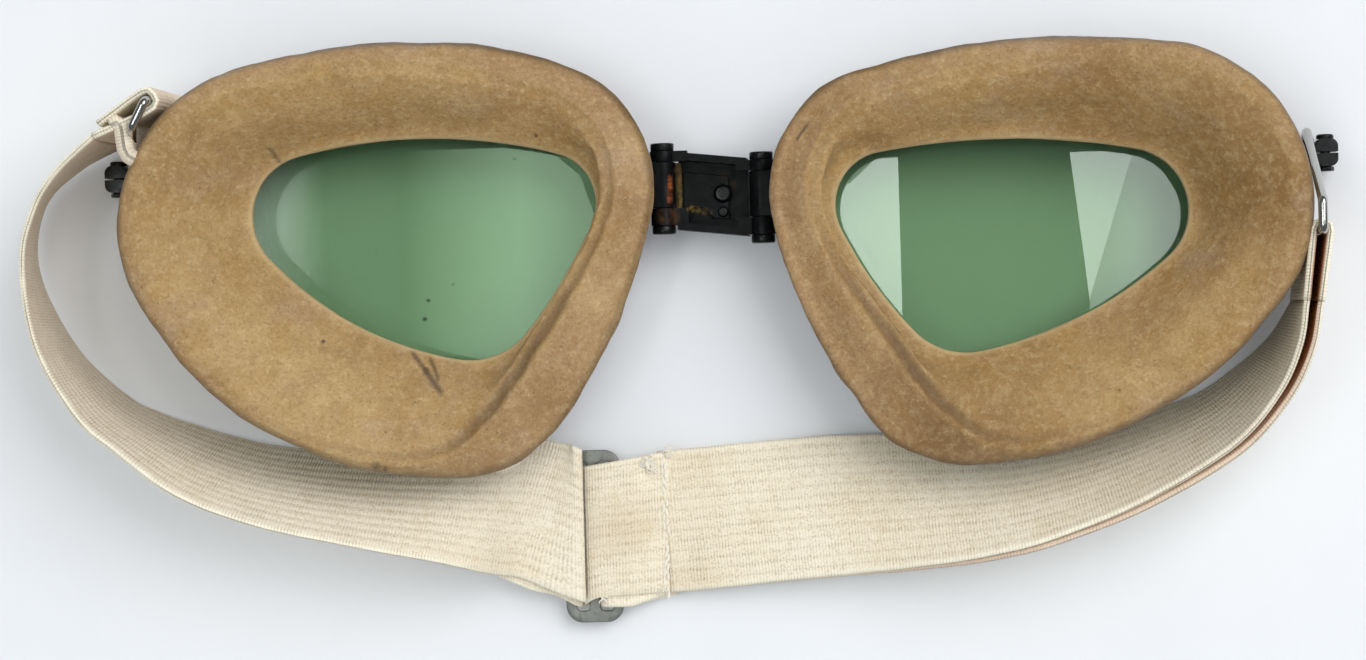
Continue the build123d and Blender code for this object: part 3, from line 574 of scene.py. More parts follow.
def cushion_object(name, lines, side, seed):
    """A padded ring: drawn-in foot, rolled wall, crest with a crease inside it, and the funnel."""
    angles = np.linspace(0, 2 * math.pi, RAYS, endpoint=False)
    wide, hole = outline_reach(lines["wide"], angles), outline_reach(lines["hole"], angles)
    if side > 0:
        wide += NOSE_BULGE * np.exp(-(((np.degrees(angles) - BULGE_TURN) / BULGE_SPREAD) ** 2))
    crest = wide - np.interp(np.degrees(angles), *zip(*CREST_INSET))
    rays = zip(angles, wide, crest, hole)
    rows, values = zip(*(cushion_row(*ray, side) for ray in rays))
    points = np.array(rows)
    marks = dict(zip(LEATHER_MARKS, np.array(values).transpose(1, 0, 2)))
    marks["scratch"] = np.zeros(points.shape[:2])
    across = np.roll(points, -1, 1) - np.roll(points, 1, 1)
    along = np.roll(points, -1, 0) - np.roll(points, 1, 0)
    normal = np.cross(along, across)
    normal /= np.linalg.norm(normal, axis=2, keepdims=True) + 1e-9
    if (normal[:, :, 2] * (points[:, :, 2] > 19)).sum() < 0:
        normal = -normal
    firm = np.clip((points[:, :, 2] - BASE_Z) / 4.0, 0, 1)
    for i, j in np.ndindex(points.shape[:2]):
        point = points[i, j]
        near_nose = max(0.0, 1 - abs(point[0] - 24) / 14)
        lump = 0.42 * bump_at(point, 15.0, seed)
        lump += (0.20 + 0.30 * near_nose) * bump_at(point, 5.5, seed + 3)
        lump += 0.07 * bump_at(point, 2.2, seed + 7)
        lump -= 0.35 * marks["crease"][i, j] * abs(bump_at(point, 6.0, seed + 11))
        point += normal[i, j] * lump * firm[i, j]
        if point[2] > BASE_Z + 1:
            marks["scratch"][i, j] = sum(scratch_at(point, *scratch) for scratch in SCRATCHES[side])
    points[:, :, 0] = (points[:, :, 0] * side + NOSE[0]) * MM
    points[:, :, 1] = (points[:, :, 1] - side * SIDE_STEP / 2 + NOSE[1]) * MM
    points[:, :, 2] *= MM
    return grid_object(name, points, True, marks)


def scratch_at(point, x, y, end_x, end_y, half):
    """How deep a scratch is at a point: 1 on its line, and 0 from its half width outwards."""
    run = Vector((end_x - x, end_y - y))
    share = max(0.0, min(1.0, Vector((point[0] - x, point[1] - y)).dot(run) / run.length_squared))
    away = math.hypot(point[0] - x - run.x * share, point[1] - y - run.y * share)
    return max(0.0, 1 - away / half)


def webbing_object(name, stations, thickness, waver, seed, marks):
    """Ribbed webbing through stations: middle, way of its width, way of its thickness, stretch.

    It wavers by a height in mm. A mark's rule takes the share of the run, and the places across it
    and their heights in mm.
    """
    run = np.linalg.norm(np.diff(smooth_line(stations, 400)[:, :3], axis=0), axis=1).sum()
    count = max(10, int(run / WEB_STEP))
    half = WEB_WIDTH / 2
    even = np.linspace(-1, 1, WEB_COLUMNS)
    across = half * np.sign(even) * np.abs(even) ** 0.85
    edge = np.clip((np.abs(across) - (half - WEB_EDGE)) / WEB_EDGE, 0, 1)
    body = thickness / 2 * np.sqrt(1 - edge**2 * 0.96)
    body += 0.02 * np.cos(across * 2 * math.pi / ROW_PITCH) * (1 - edge)
    across, heights = np.r_[across, across[::-1]], np.r_[body, -body[::-1]]
    points, spread, values = [], [], {key: [] for key in WEB_MARKS}
    for i, row in enumerate(smooth_line(stations, count)):
        middle, width_way, thick_way, stretch = row[:3], row[3:6], row[6:9], row[9]
        width_way = width_way / np.linalg.norm(width_way)
        thick_way = thick_way - width_way * thick_way.dot(width_way)
        thick_way /= np.linalg.norm(thick_way)
        share = i / (count - 1)
        free = math.sin(math.pi * share) ** 0.5 * waver if 0 < share < 1 else 0.0
        along = share * run
        frill = 1 + 0.006 * bump_at((along, 0, 0), 5.0, seed)
        lift = np.array([free * (bump_at((along, place * 0.8, 0), 16.0, seed)
                                 + 0.35 * bump_at((along, place, 3), 5.0, seed))
                         for place in across])
        points.append(middle + np.outer(across * frill * stretch, width_way)
                      + np.outer(heights + lift, thick_way))
        # The lower face lies beside the upper one on the flat layout.
        on_flat = np.where(heights > 0, across, across + 60)
        spread.append(np.c_[np.full(len(across), along), on_flat] * MM)
        for key, rows in values.items():
            rule = marks.get(key)
            rows.append(rule(share, across, heights) if rule else np.zeros(len(across)))
    # The outer millimetre of each edge is lightened as a painted highlight.
    values["selvedge_highlight"] = [np.clip((np.abs(across) - half + 1.0) / 0.6, 0, 1)] * count
    points = (np.array(points) + (*NOSE, 0)) * MM
    return grid_object(name, points, False, values, spread), run * MM


def mark_rule(face, stops, reach=WEB_WIDTH):
    """A mark on the upper face (1), the lower (-1) or both (0), to a reach from the middle in mm.

    Its strength runs between stops, each a share of the run and an amount.
    """
    shares, amounts = zip(*stops)
    return lambda share, across, heights: (
        np.interp(share, shares, amounts) * (np.abs(across) < reach) * (heights * face >= 0))


def run_station(x, y, z, heading, lean, inward=0.0):
    """A station of a webbing run, moved sideways between layers."""
    turn, tip = math.radians(heading), math.radians(lean)
    out = np.array([math.sin(turn), -math.cos(turn), 0])
    up = np.array([0, 0, 1.0])
    width_way = out * math.sin(tip) + up * math.cos(tip)
    thick_way = up * math.sin(tip) - out * math.cos(tip)
    return np.r_[np.array([x, y, z]) + thick_way * inward, width_way, thick_way, 1.0]


def path_stations(points, width_way, rounds=0.8):
    """Stations along a bent path of x, y, z and stretch, its corners rounded."""
    points = [np.array([*point, *[1.0] * (4 - len(point))], float) for point in points]
    fine = [points[0]]
    for before, corner, after in zip(points, points[1:], points[2:]):
        ends = []
        for side in (before - corner, after - corner):
            reach = np.linalg.norm(side[:3])
            ends.append(corner + side / reach * min(rounds, reach * 0.45))
        fine += [ends[0] * (1 - share) ** 2 + 2 * corner * share * (1 - share) + ends[1] * share**2
                 for share in (0, 0.25, 0.5, 0.75, 1)]
    fine.append(points[-1])
    spaced = []
    for here, following in zip(fine, fine[1:]):
        pieces = max(1, int(np.linalg.norm((following - here)[:3]) / PATH_STEP))
        spaced += [here + (following - here) * i / pieces for i in range(pieces)]
    spaced.append(fine[-1])
    rows = []
    for i, place in enumerate(spaced):
        ahead = (spaced[min(i + 1, len(spaced) - 1)] - spaced[max(i - 1, 0)])[:3]
        thick_way = np.cross(ahead / np.linalg.norm(ahead), width_way)
        rows.append(np.r_[place[:3], width_way, thick_way, place[3]])
    return rows


# Hard pieces


def softened(node, width_mm):
    """A merged copy of a CAD node with its edges rounded over, standing in for the node."""
    source = bpy.data.objects[node]
    thing = placed(f"{node}_finished", source.data.copy())
    with edited(thing):
        bpy.ops.mesh.remove_doubles(threshold=0.002 * MM)
        bpy.ops.mesh.dissolve_limited(angle_limit=math.radians(2.0))
    if width_mm:
        modified(thing, "BEVEL", width=width_mm * MM, segments=2, limit_method="ANGLE",
                 angle_limit=math.radians(28.0), use_clamp_overlap=True)
    with edited(thing):
        bpy.ops.mesh.quads_convert_to_tris()
    bpy.ops.object.shade_smooth_by_angle(angle=math.radians(34))
    modified(thing, "WEIGHTED_NORMAL", keep_sharp=True, weight=100)
    body = body_of(source)[0]
    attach(thing, body)
    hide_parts(node)
    return thing


def dress(thing, material):
    """Give a piece its one material."""
    thing.data.materials.clear()
    thing.data.materials.append(material)


# What a user would change


def colour_property(name, description, code):
    """A colour that the panel shows."""
    return bpy.props.FloatVectorProperty(
        name=name, description=description, subtype="COLOR", size=3, min=0, max=1,
        default=linear(code)[:3])


class GogglesLooks(bpy.types.PropertyGroup):
    """Colours and small sizes of the goggles."""

    leather_colour: colour_property("Leather", "Colour of the sueded leather", "#AD8B58")
    webbing_colour: colour_property("Webbing", "Colour of the clean cotton", "#F8EED8")
    lens_colour: colour_property("Glass", "Tint of the lenses", "#A5BDA0")
    enamel_colour: colour_property("Enamel", "Colour of the enamel on the steel", "#0C0E0F")
    edge_rounding: bpy.props.FloatProperty(
        name="Edge rounding", description="Width of the rounded edges of the steel parts",
        default=0.18 * MM, min=0, max=MM, unit="LENGTH", precision=5)
    web_thickness: bpy.props.FloatProperty(
        name="Webbing thickness", description="Thickness of one layer of webbing",
        default=1.0 * MM, min=0.5 * MM, max=2 * MM, unit="LENGTH", precision=4)


class GogglesStage(bpy.types.PropertyGroup):
    """Floor and light round the goggles."""

    floor_colour: colour_property("Floor", "Colour of the table under the goggles", "#EEF0F3")
    soft_box_power: bpy.props.FloatProperty(
        name="Soft box", description="Power of the large soft lamp", default=13.2, min=0,
        unit="POWER")
    sky_level: bpy.props.FloatProperty(
        name="Sky level", description="Strength of the even light from all round",
        default=0.62, min=0, max=2, subtype="FACTOR")


# Operators, one for each piece or group of like pieces


class GOGGLES_OT_cushions(bpy.types.Operator):
    """Model both padded leather face cushions"""

    bl_idname = "goggles.cushions"
    bl_label = "Face cushions"
    bl_options = {"REGISTER", "UNDO"}

    def execute(self, context):
        leather = chamois(context.scene.goggles_looks)
        for side, word, lines, seed in ((-1, "left", LEFT_LINES, 4.0), (1, "right", RIGHT_LINES, 17.0)):
            cushion = cushion_object(f"{word}_cushion_leather", lines, side, seed)
            dress(cushion, leather)
            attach(cushion, f"{word}_cup")
            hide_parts(f"{word}_face_cushion")
        return {"FINISHED"}


class GOGGLES_OT_webbing(bpy.types.Operator):
    """Lay the elastic webbing: two runs, the threading, the sewn fold and both ends"""

    bl_idname = "goggles.webbing"
    bl_label = "Webbing"
    bl_options = {"REGISTER", "UNDO"}

    def execute(self, context):
        looks = context.scene.goggles_looks
        cotton = webbing(looks)

        def lay(name, node, stations, bodies, start, end, over=None, waver=0.0, seed=1.0,
                thick=looks.web_thickness / MM, **marks):
            """Lay one piece, folded over a hard piece or laid on the floor."""
            thing, length = webbing_object(name, stations, thick, waver, seed, marks)
            dress(thing, cotton)
            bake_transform(thing, *bodies, part_point(*start), part_point(*end))
            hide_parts(node)

        self.runs(lay)
        self.threading(lay)
        self.ends(lay)
        return {"FINISHED"}

    def runs(self, lay):
        """The single run on the left and the two layers on the right."""
        left = [np.r_[x, y, z, ACROSS_PLAN, 0, 0, -1.0, stretch] for x, y, z, stretch in LEFT_FOLD]
        left += [run_station(*place) for place in LEFT_RUN]
        lay("left_webbing", "strap_left", left, ("bridge", "left_cup"), (-30, -49, 4),
            (-104, -30, 13), waver=0.18, seed=2.0,
            # Painted shade on the face turned to the cushion.
            rosy=mark_rule(-1, [(0.4, 0), (0.95, 0.55)], 11.6),
            soil=mark_rule(-1, [(0.04, 0), (0.10, 0.25), (0.16, 0)]))
        ups = [run_station(-10.6, -46.95, 3.1, 4, 90), run_station(-6.5, -46.65, 3.0, 4, 88)]
        ups += [run_station(*place, step / 2) for *place, step in RIGHT_RUN]
        downs = [run_station(-8.5, -47.1, 0.6, 4, 90)]
        downs += [run_station(*place, -step / 2) for *place, step in RIGHT_RUN]
        lay("right_upper_webbing", "strap_inner", ups, ("bridge", "right_cup"), (-8, -49, 3),
            (96, -20, 13), waver=0.06, seed=5.0,
            stain=mark_rule(0, [(0, 0.25), (0.1, 0)]),
            soil=mark_rule(1, [(0.6, 0), (0.8, 0.25), (1, 0)]))
        lay("right_lower_webbing", "strap_outer", downs, ("bridge", "right_cup"), (-8, -49, 1),
            (96, -20, 13), waver=0.06, seed=5.0,
            # Painted shade on the face turned to the upper layer.
            rosy=mark_rule(1, [(0.1, 0), (0.35, 1)]),
            # Painted shade in the gap between the two layers.
            rubber=mark_rule(1, [(0.72, 0), (0.92, 1)], 11.7))

    def threading(self, lay):
        """The run threaded through the slider and the end sewn round the slider's middle bar."""
        under_z, return_z, over_z, second_z, third_z, front_z = 0.6, 1.7, 3.95, 4.85, 5.75, 3.0
        y, low = -48.3, -49.2
        lay("threaded_webbing", "strap_threaded", path_stations([
            (-40.0, y + 2.0, 5.8, 0.75), (-34.0, y + 1.6, 4.6, 0.95), (-30.0, y + 1.2, over_z, 0.98),
            (-25.9, low, over_z), (-25.9, low, under_z), (-20.5, low, under_z),
            (-20.5, low, over_z), (-17.1, low, over_z), (-10.1, y + 0.6, under_z),
            (-8.6, y + 0.8, under_z),
        ], ACROSS_PLAN), ("bridge", "slider"), (-8.6, y, 2), (-16, y, 3), "strap_slider_finished",
            seed=7.0, thick=0.9)
        lay("sewn_webbing", "strap_sewn_end", path_stations([
            (-9.0, y + 1.2, return_z), (-9.7, y + 1.2, return_z), (-16.7, low, second_z),
            (-21.7, low, second_z), (-21.7, low, return_z), (-24.7, low, return_z),
            (-24.7, low + 0.3, over_z + 0.4, 0.97), (-22.2, y + 0.2, third_z, 0.93),
            (-16.3, y + 0.75, third_z - 0.35, 0.96), (-11.6, y + 1.25, front_z + 0.62, 0.985),
            (-7.4, y + 1.6, front_z - 0.65, 1.0),
        ], ACROSS_PLAN, 1.2), ("slider", "bridge"), (-16, y, 3), (-8.6, y, 2),
            "strap_slider_finished", seed=9.0, thick=0.9,
            stain=lambda share, across, heights: 0.55 * np.exp(-((share - 0.72) / 0.16) ** 2)
            * (0.6 + 0.4 * np.cos(across / 3.0)))

    def ends(self, lay):
        """The folds round the crossbar of each bail, and the thick hem beside the left one."""
        up = np.array([0, 0, 1.0])
        reach = 1.4  # from the middle of a crossbar to the middle of the webbing round it
        start, heading = np.array(LEFT_RUN[-1][:3]), math.radians(LEFT_RUN[-1][3])
        ahead = np.array([math.cos(heading), math.sin(heading), 0])
        aside = np.array([-ahead[1], ahead[0], 0])
        left_bar, right_bar = np.array([-95.48, 28.67, 14.8]), np.array([103.2, 0.5, 14.85])
        inner, outer = left_bar - aside * reach, left_bar + aside * (reach + 0.5)
        lay("left_end_fold", "strap_left_end", path_stations([
            start + ahead * 0.1, inner - ahead * 2.0, inner + ahead * reach, outer + ahead * reach,
            outer - ahead * 2.0, start + ahead * 2.0 + aside * 1.3,
        ], up, 1.3), ("left_bail", "left_cup"), left_bar, start, "left_bail_finished",
            # Painted shade on the inner face of the fold.
            seed=12.0, thick=1.15, rosy=mark_rule(1, [(0, 0.5)], 11.6))
        ahead, aside = np.array([0.105, 0.9945, 0]), np.array([-0.9945, 0.105, 0])
        last, step = RIGHT_RUN[-1][:-1], RIGHT_RUN[-1][-1]
        lower, upper = (run_station(*last, side * step / 2)[:3] for side in (-1, 1))
        lay("right_end_fold", "strap_right_end", path_stations([
            lower + ahead * 0.1, right_bar - aside * reach + ahead * reach,
            right_bar + aside * reach + ahead * reach, upper + ahead * 0.1,
        ], up, 1.3), ("right_bail", "right_cup"), right_bar, (lower + upper) / 2,
            # Painted shade inside the fold, between its layers.
            "right_bail_finished", seed=14.0, thick=1.25, rubber=mark_rule(-1, [(0, 1)], 12.3))
        lay("left_hem", "strap_left_end", path_stations([
            (-101.9, 24.6, 14.8), (-100.6, 25.6, 14.8), (-99.9, 24.3, 14.8), (-99.7, 22.4, 14.8),
            (-99.5, 20.5, 14.8), (-98.9, 19.3, 14.8), (-97.5, 18.6, 14.8), (-95.4, 18.0, 14.8),
        ], up, 1.5), ("left_bail", "left_cup"), left_bar, start, "left_bail_finished",
            waver=0.45, seed=23.0, thick=2.9, soil=mark_rule(0, [(0, 0), (1, 0.5)]),
            # Pale pinkish painted shade over the whole hem.
            rosy=mark_rule(0, [(0, 0.3)]))


# Specks on the left lens: x and y in the goggles' plan, radius in mm, and strength.
LENS_SPECKS = [(-51.5, -6.7, 0.45, 0.8), (-52.2, -10.0, 0.5, 0.9), (-35.4, 17.9, 0.35, 0.6),
               (-47.0, -4.0, 0.25, 0.5), (-60.5, 2.0, 0.22, 0.4)]


def green_glass(looks):
    """Tinted plate glass, ground flat and dusty: clear green with a sharp reflection, and painted light at
    the outer end of the left lens.
    """
    made, tree, shader, place = finish("Green tinted plate glass", looks.lens_colour,
                                       Roughness=0.0, IOR=1.5, Transmission_Weight=1.0)
    colour = stained(tree, place, looks.lens_colour, [
        (3.0, 0.76, 0.79, "#8FA88C", 0.6),
        (22.0, 0.45, 0.75, "#A2BD9C", 0.5),
    ])
    linked(shader, {"Base Color": spotted(tree, place, colour, LENS_SPECKS, "#1E2A1E")})
    # A film of dust veils the glass thinly; towards the outer end of the left lens the pale veil thickens
    # into painted light.
    apart = add_node(tree, "SeparateXYZ", None, {0: place})
    veil = add_node(tree, "MapRange", dict(zip(SPAN, (-0.0655, -0.0755, 0.012, 0.30))),
                    {"Value": (apart, "X")})
    dust = add_node(tree, "BsdfDiffuse", {"Color": linear("#D3DED6")})
    dusty = add_node(tree, "MixShader", None, {0: veil, 1: shader, 2: dust})
    # Light from the lamps passes through with the same tint, so the floor below is lit.
    ray = add_node(tree, "LightPath")
    clear = add_node(tree, "BsdfTransparent", {"Color": linear("#D0DDCD")})
    mixed = add_node(tree, "MixShader", None, {0: (ray, "Is Shadow Ray"), 1: dusty, 2: clear})
    linked(tree.nodes["Material Output"], {"Surface": mixed})
    return made


class GOGGLES_OT_steelwork(bpy.types.Operator):
    """Finish the rims, frames, hinges, nose bridge, bails, slider and their rubber"""

    bl_idname = "goggles.steelwork"
    bl_label = "Steelwork and rubber"
    bl_options = {"REGISTER", "UNDO"}

    def execute(self, context):
        looks = context.scene.goggles_looks
        black = enamel(looks, "Black stove enamel on steel", False)
        rusty = enamel(looks, "Black stove enamel, rusting", True)
        chrome = worn_finish("Chromed steel wire", "#B9B9B5", [(2.0, 0.6, 0.75, "#7A7064", 0.4)],
                             Metallic=1.0, Roughness=0.14)
        grey = worn_finish("Steel sheet, tumbled and dulled", "#8E8F8A",
                           [(4.0, 0.45, 0.7, "#6F706B", 0.6), (0.8, 0.58, 0.72, "#55534C", 0.6)],
                           [(1.4, 0.05)], Metallic=0.85, Roughness=0.46)
        rubber = worn_finish("Black moulded rubber", "#1C1B19",
                             [(3.0, 0.5, 0.75, "#34302A", 0.6)], [(0.9, 0.04)], Roughness=0.7)
        rounding = looks.edge_rounding / MM
        for material, slot, width, nodes in (
            (rusty, "black_enamel", rounding, ("bridge_channel",)),
            (rusty, "black_enamel", 0.1, ("bridge_inner_plate",)),
            (black, "black_enamel", 0.2, ("bridge_rivets",)),
            (black, "black_enamel", 0.22, ("hinge_pin_left", "hinge_pin_right")),
            (black, "black_enamel", 0.25, ("hinge_nut_left", "hinge_nut_right")),
            (rusty, "black_enamel", rounding, ("left_nose_lug", "right_nose_lug")),
            (grey, "grey_steel", 0.25, ("strap_slider",)),
            (chrome, "chromed_wire", 0, ("left_bail", "right_bail")),
            (black, "black_enamel", 0.15, ("left_clamp_screw", "right_clamp_screw",
                                           "left_clamp_nut", "right_clamp_nut",
                                           "left_front_rim", "right_front_rim")),
            (black, "black_enamel", 0.12, ("left_frame_body", "right_frame_body")),
        ):
            for node in nodes:
                dress(softened(node, width), material)
        for side in ("left", "right"):
            for node in (f"{side}_lens_gasket", f"{side}_cushion_band"):
                dress(bpy.data.objects[node], rubber)
        self.worn_edge()
        return {"FINISHED"}

    def worn_edge(self):
        """The turned end of the channel's web, bare of enamel and rusted yellow."""
        points = []
        for share in np.linspace(0, 1, 40):
            y = WORN_EDGE_Y + WORN_EDGE_LENGTH * share
            bow = 0.16 * math.sin(math.pi * share) + 0.10 * bump_at((0, y, 0), 1.2, 3.0)
            x = -5.95 - 0.10 * share + bow
            rise = 0.07 * bump_at((4, y, 0), 0.9, 6.0)
            points.append([(x - 0.95, y, 3.75), (x - 0.98, y, 4.4), (x - 0.50, y, 4.9 + rise),
                           (x - 0.12, y, 5.12 + rise), (x + 0.26, y, 4.96), (x + 0.34, y, 4.86),
                           (x + 0.34, y, 3.75)])
        points = (np.array(points) + (*NOSE, 0)) * MM
        edge = grid_object("worn_web_edge", points, False)
        bare = worn_finish("Bare steel, rusted yellow", "#77602F",
                           [(1.1, 0.45, 0.66, "#3B2D18", 0.9), (0.5, 0.52, 0.72, "#A28E52", 0.6)],
                           [(0.6, 0.10)], Roughness=0.72)
        dress(edge, bare)
        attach(edge, "bridge")


class GOGGLES_OT_lenses(bpy.types.Operator):
    """Glaze both lenses"""

    bl_idname = "goggles.lenses"
    bl_label = "Lenses"
    bl_options = {"REGISTER", "UNDO"}

    def execute(self, context):
        glass = green_glass(context.scene.goggles_looks)
        for side in ("left", "right"):
            dress(softened(f"{side}_lens", 0), glass)
        return {"FINISHED"}


# Loose thread ends: x, y, height, reach in mm and how many strands.
FRAYED = [(-13.0, -36.4, 4.9, 1.6, 9), (-12.2, -37.4, 4.9, 1.3, 6), (-9.2, -34.4, 3.9, 1.2, 5),
          (-11.0, -58.6, 4.0, 1.0, 4), (-21.5, -60.0, 5.4, 1.1, 4)]
# The seam: two lanes of stitches, and every fifth stitch is lost.
STITCH_ROWS, STITCH_STEP, STITCH_TOP = 15, 1.62, -37.6
STITCH_LANES = (-10.5, -9.9)


class GOGGLES_OT_stitching(bpy.types.Operator):
    """Sew the seam beside the slider and leave a frayed end"""

    bl_idname = "goggles.stitching"
    bl_label = "Stitching"
    bl_options = {"REGISTER", "UNDO"}

    def execute(self, context):
        thread = worn_finish("White cotton thread", "#F4EFE2",
                             [(1.0, 0.5, 0.7, "#DDD2B8", 0.6)], Roughness=0.85)
        bpy.ops.object.select_all(action="DESELECT")
        bpy.ops.mesh.primitive_uv_sphere_add(segments=10, ring_count=6, radius=0.5 * MM)
        pattern = bpy.context.active_object
        made = []
        for row in range(STITCH_ROWS):
            for lane, x in enumerate(STITCH_LANES):
                if (row + lane) % 5 == 4:
                    continue
                stitch = placed("stitch", pattern.data.copy())
                x += 0.5 * bump_at((row, lane * 3, 0), 2.3, 31.0)
                y = STITCH_TOP - row * STITCH_STEP + 1.2 - lane * 0.7
                turn = math.radians(90 + 28 * bump_at((row, lane, 5), 1.7, 8.0))
                stitch.matrix_world = (Matrix.Translation(part_point(x, y, 4.0 - 0.14 * lane))
                                       @ Matrix.Rotation(turn, 4, "Z")
                                       @ Matrix.Diagonal((1.5, 0.5, 0.34, 1.0)))
                made.append(stitch)
        bpy.data.objects.remove(pattern)
        bpy.ops.object.select_all(action="DESELECT")
        for stitch in made:
            stitch.select_set(True)
        bpy.context.view_layer.objects.active = made[0]
        bpy.ops.object.join()
        seam = bpy.context.active_object
        bpy.ops.object.transform_apply(location=True, rotation=True, scale=True)
        seam.name = "seam_stitches"
        for thing in (self.fray(), seam):
            dress(thing, thread)
            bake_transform(thing, "slider", "bridge", part_point(-16, -49, 3), part_point(-8.6, -49, 2))
        return {"FINISHED"}

    def fray(self):
        """Loose thread ends where the seam starts and along the fold's lower edge."""
        curve = bpy.data.curves.new("frayed_threads", "CURVE")
        curve.dimensions, curve.bevel_depth, curve.bevel_resolution = "3D", 0.13 * MM, 1
        curve.use_fill_caps = True
        for tuft, (x, y, z, reach, count) in enumerate(FRAYED):
            for number in range(count):
                strand = curve.splines.new("POLY")
                strand.points.add(7)
                turn = 2 * math.pi * (number / count) + tuft
                for i, point in enumerate(strand.points):
                    share = i / 7
                    sway = turn + 2.4 * share * bump_at((number, tuft, i * 0.4), 1.7, 5.0)
                    place = part_point(x + reach * share * math.cos(sway),
                                       y + reach * share * math.sin(sway),
                                       z + 0.55 * math.sin(math.pi * share))
                    point.co = (*place, 1.0)
        thing = placed("frayed_threads", curve)
        alone(thing)
        bpy.ops.object.convert(target="MESH")
        bpy.ops.object.shade_smooth()
        return thing


WINDOW_Z = 1.4  # metres
# Bright windows above the camera's view: x, lowest and highest y in mm, and brightness there.
WINDOWS = {
    "middle_window": [(-52, -350, 97, 7.4), (13, -350, 97, 7.4)],
    "right_window": [(112, 96, 97, 6.6), (121, 12, 97, 6.6), (148, 96, 97, 6.6)],
    "right_glow": [(121, 2, 12, 3.0), (148, -26, 96, 4.8), (230, -60, 97, 3.6)],
    "left_window": [(-560, -300, 300, 7.0), (-384, -300, 300, 6.0), (-352, -300, 300, 2.6),
                    (-322, -300, 300, 0.0)],
    "far_glow": [(-280, -200, 110, 0.0), (-208, -200, 110, 4.8), (-160, -200, 110, 4.6)],
}
# Light that reaches the left lens through its own tint, rather than off its surface, is green.
WINDOW_COLOURS = {"far_glow": "#CDEBD0"}
CLEAR_DAY = "#F4FAFA"

SOFT_BOX_PLACE, SOFT_BOX_SIZE = (0.75, 0.55, 1.25), 1.1  # metres
FLOOR_SIZE, FLOOR_GAP = 6.0, 0.02 * MM

# The camera, as the photograph gives it: its width and focal length in pixels, its distance in mm
# from a place in the goggles' plan, its lean to the right and its roll in degrees.
PHOTO_WIDTH, PHOTO_FOCAL = 1366, 3452
EYE_AIM, EYE_DISTANCE, EYE_LEAN, EYE_ROLL = (-0.15, 0.6, 0), 612, 4.7, -1.6
SENSOR_WIDTH = 36.0


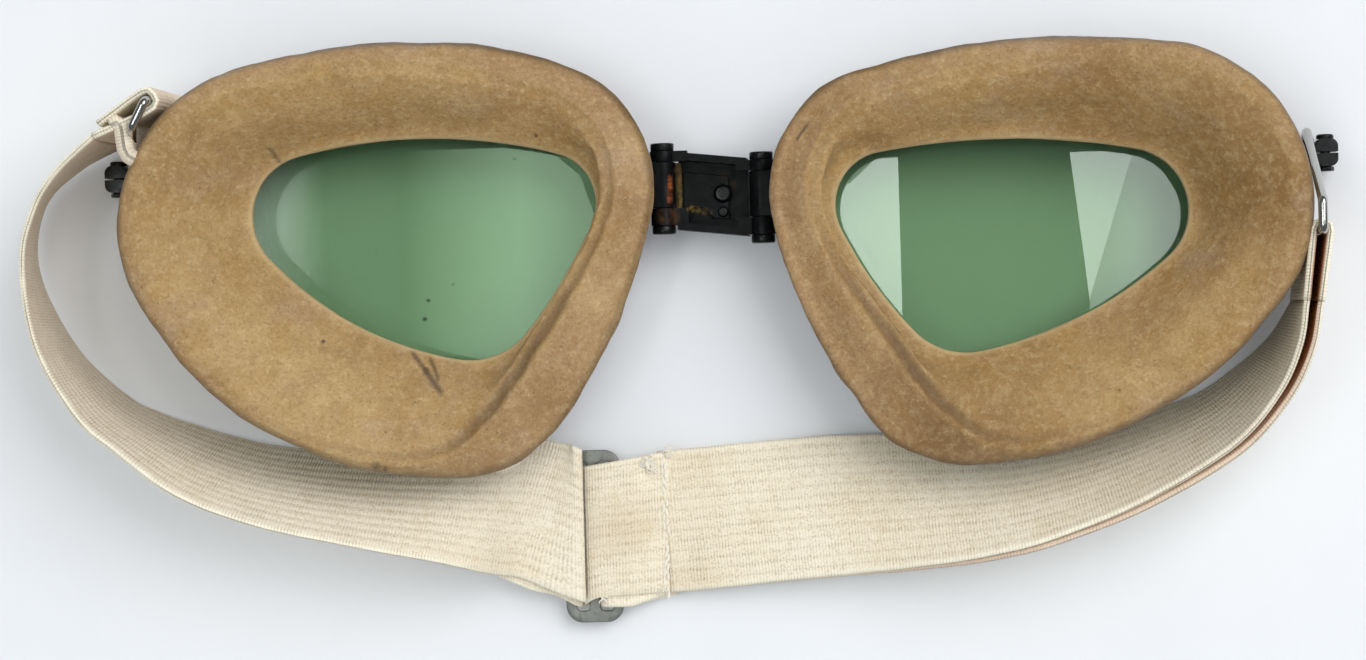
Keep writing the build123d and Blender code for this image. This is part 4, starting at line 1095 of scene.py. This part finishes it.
class GOGGLES_OT_stage(bpy.types.Operator):
    """Set the floor, the soft lamp, the windows that the glass mirrors, the sky and the camera"""

    bl_idname = "goggles.stage"
    bl_label = "Floor, light and camera"
    bl_options = {"REGISTER", "UNDO"}

    def execute(self, context):
        scene, stage = context.scene, context.scene.goggles_stage
        scene.view_settings.view_transform = "Standard"
        self.camera(scene)
        bpy.ops.object.select_all(action="DESELECT")
        bpy.ops.mesh.primitive_plane_add(size=FLOOR_SIZE, location=(0, 0, -FLOOR_GAP))
        floor = bpy.context.active_object
        floor.name = "floor"
        floor.data.materials.append(worn_finish("Painted table top", stage.floor_colour, [
            (60.0, 0.45, 0.75, "#E2E5EA", 0.35),
            (1.4, 0.80, 0.83, "#8C8C8A", 0.6),
        ], Roughness=0.55, Specular_IOR_Level=0.3))
        lamp = bpy.data.lights.new("soft_box", "AREA")
        lamp.size, lamp.energy = SOFT_BOX_SIZE, stage.soft_box_power
        soft_box = placed("soft_box", lamp)
        soft_box.location = SOFT_BOX_PLACE
        soft_box.rotation_mode = "QUATERNION"
        soft_box.rotation_quaternion = Vector(SOFT_BOX_PLACE).to_track_quat("Z", "Y")
        windows = [self.window(name, stations) for name, stations in WINDOWS.items()]
        self.sky(scene, stage.sky_level)
        return {"FINISHED"}

    def sky(self, scene, strength):
        """An even sky, which is dimmer where glass and enamel mirror it."""
        scene.world = bpy.data.worlds.new("Even sky")
        scene.world.use_nodes = True
        tree = scene.world.node_tree
        level = tree.nodes["Background"]
        level.inputs["Color"].default_value = linear("#F2F4F8")
        ray = add_node(tree, "LightPath")
        dimmed = add_node(tree, "MapRange", {"To Min": strength, "To Max": strength * 0.3},
                          {"Value": (ray, "Is Glossy Ray")})
        linked(level, {"Strength": dimmed})

    def window(self, name, stations):
        """A bright window overhead, which the flat lenses mirror: x, y span and brightness."""
        points = [(x * MM, y * MM, WINDOW_Z) for x, low, high, _ in stations for y in (low, high)]
        faces = [(2 * i, 2 * i + 2, 2 * i + 3, 2 * i + 1) for i in range(len(stations) - 1)]
        mesh = bpy.data.meshes.new(name)
        mesh.from_pydata(points, [], faces)
        layer = mesh.attributes.new("brightness", "FLOAT", "POINT")
        layer.data.foreach_set("value", [level for *_, level in stations for _ in (0, 1)])
        made, tree, *_ = finish(f"Light from the {name}", "#000000", Roughness=1.0)
        level = add_node(tree, "Attribute", {"attribute_name": "brightness"})
        glow = add_node(tree, "Emission", {"Color": linear(WINDOW_COLOURS.get(name, CLEAR_DAY))},
                        {"Strength": (level, "Fac")})
        linked(tree.nodes["Material Output"], {"Surface": glow})
        mesh.materials.append(made)
        return placed(name, mesh)

    def camera(self, scene):
        """An overhead camera, a little to the right, that frames the goggles as seen in use."""
        lens = bpy.data.cameras.new("camera")
        lens.sensor_width = SENSOR_WIDTH
        lens.lens = SENSOR_WIDTH * PHOTO_FOCAL / PHOTO_WIDTH
        lens.clip_start = 0.01
        eye = placed("camera", lens)
        lean, roll = math.radians(EYE_LEAN), math.radians(EYE_ROLL)
        back = Vector((math.sin(lean), 0, math.cos(lean)))
        right = Vector((math.cos(lean), 0, -math.sin(lean)))
        up = Vector((0, 1, 0))
        across = right * math.cos(roll) + up * math.sin(roll)
        rise = -right * math.sin(roll) + up * math.cos(roll)
        eye.rotation_mode = "QUATERNION"
        eye.rotation_quaternion = Matrix((across, rise, back)).transposed().to_quaternion()
        eye.location = Vector(EYE_AIM) * MM + back * EYE_DISTANCE * MM
        scene.camera = eye


OPERATORS = ("stage", "cushions", "webbing", "steelwork", "lenses", "stitching")


class GOGGLES_PT_panel(bpy.types.Panel):
    """The goggles' pieces and their stage"""

    bl_idname = "GOGGLES_PT_panel"
    bl_label = "Aviator goggles"
    bl_space_type = "VIEW_3D"
    bl_region_type = "UI"
    bl_category = "Goggles"

    def draw(self, context):
        for group in (context.scene.goggles_looks, context.scene.goggles_stage):
            for key in group.bl_rna.properties.keys():
                if key not in ("rna_type", "name"):
                    self.layout.prop(group, key)
        for name in OPERATORS:
            self.layout.operator(f"goggles.{name}")


CLASSES = (
    GogglesLooks,
    GogglesStage,
    GOGGLES_OT_cushions,
    GOGGLES_OT_webbing,
    GOGGLES_OT_steelwork,
    GOGGLES_OT_lenses,
    GOGGLES_OT_stitching,
    GOGGLES_OT_stage,
    GOGGLES_PT_panel,
)


def register():
    for made in CLASSES:
        bpy.utils.register_class(made)
    bpy.types.Scene.goggles_looks = bpy.props.PointerProperty(type=GogglesLooks)
    bpy.types.Scene.goggles_stage = bpy.props.PointerProperty(type=GogglesStage)


def unregister():
    del bpy.types.Scene.goggles_stage
    del bpy.types.Scene.goggles_looks
    for made in reversed(CLASSES):
        bpy.utils.unregister_class(made)


def main():
    register()
    for name in OPERATORS:
        getattr(bpy.ops.goggles, name)()


if __name__ == "__main__":
    main()
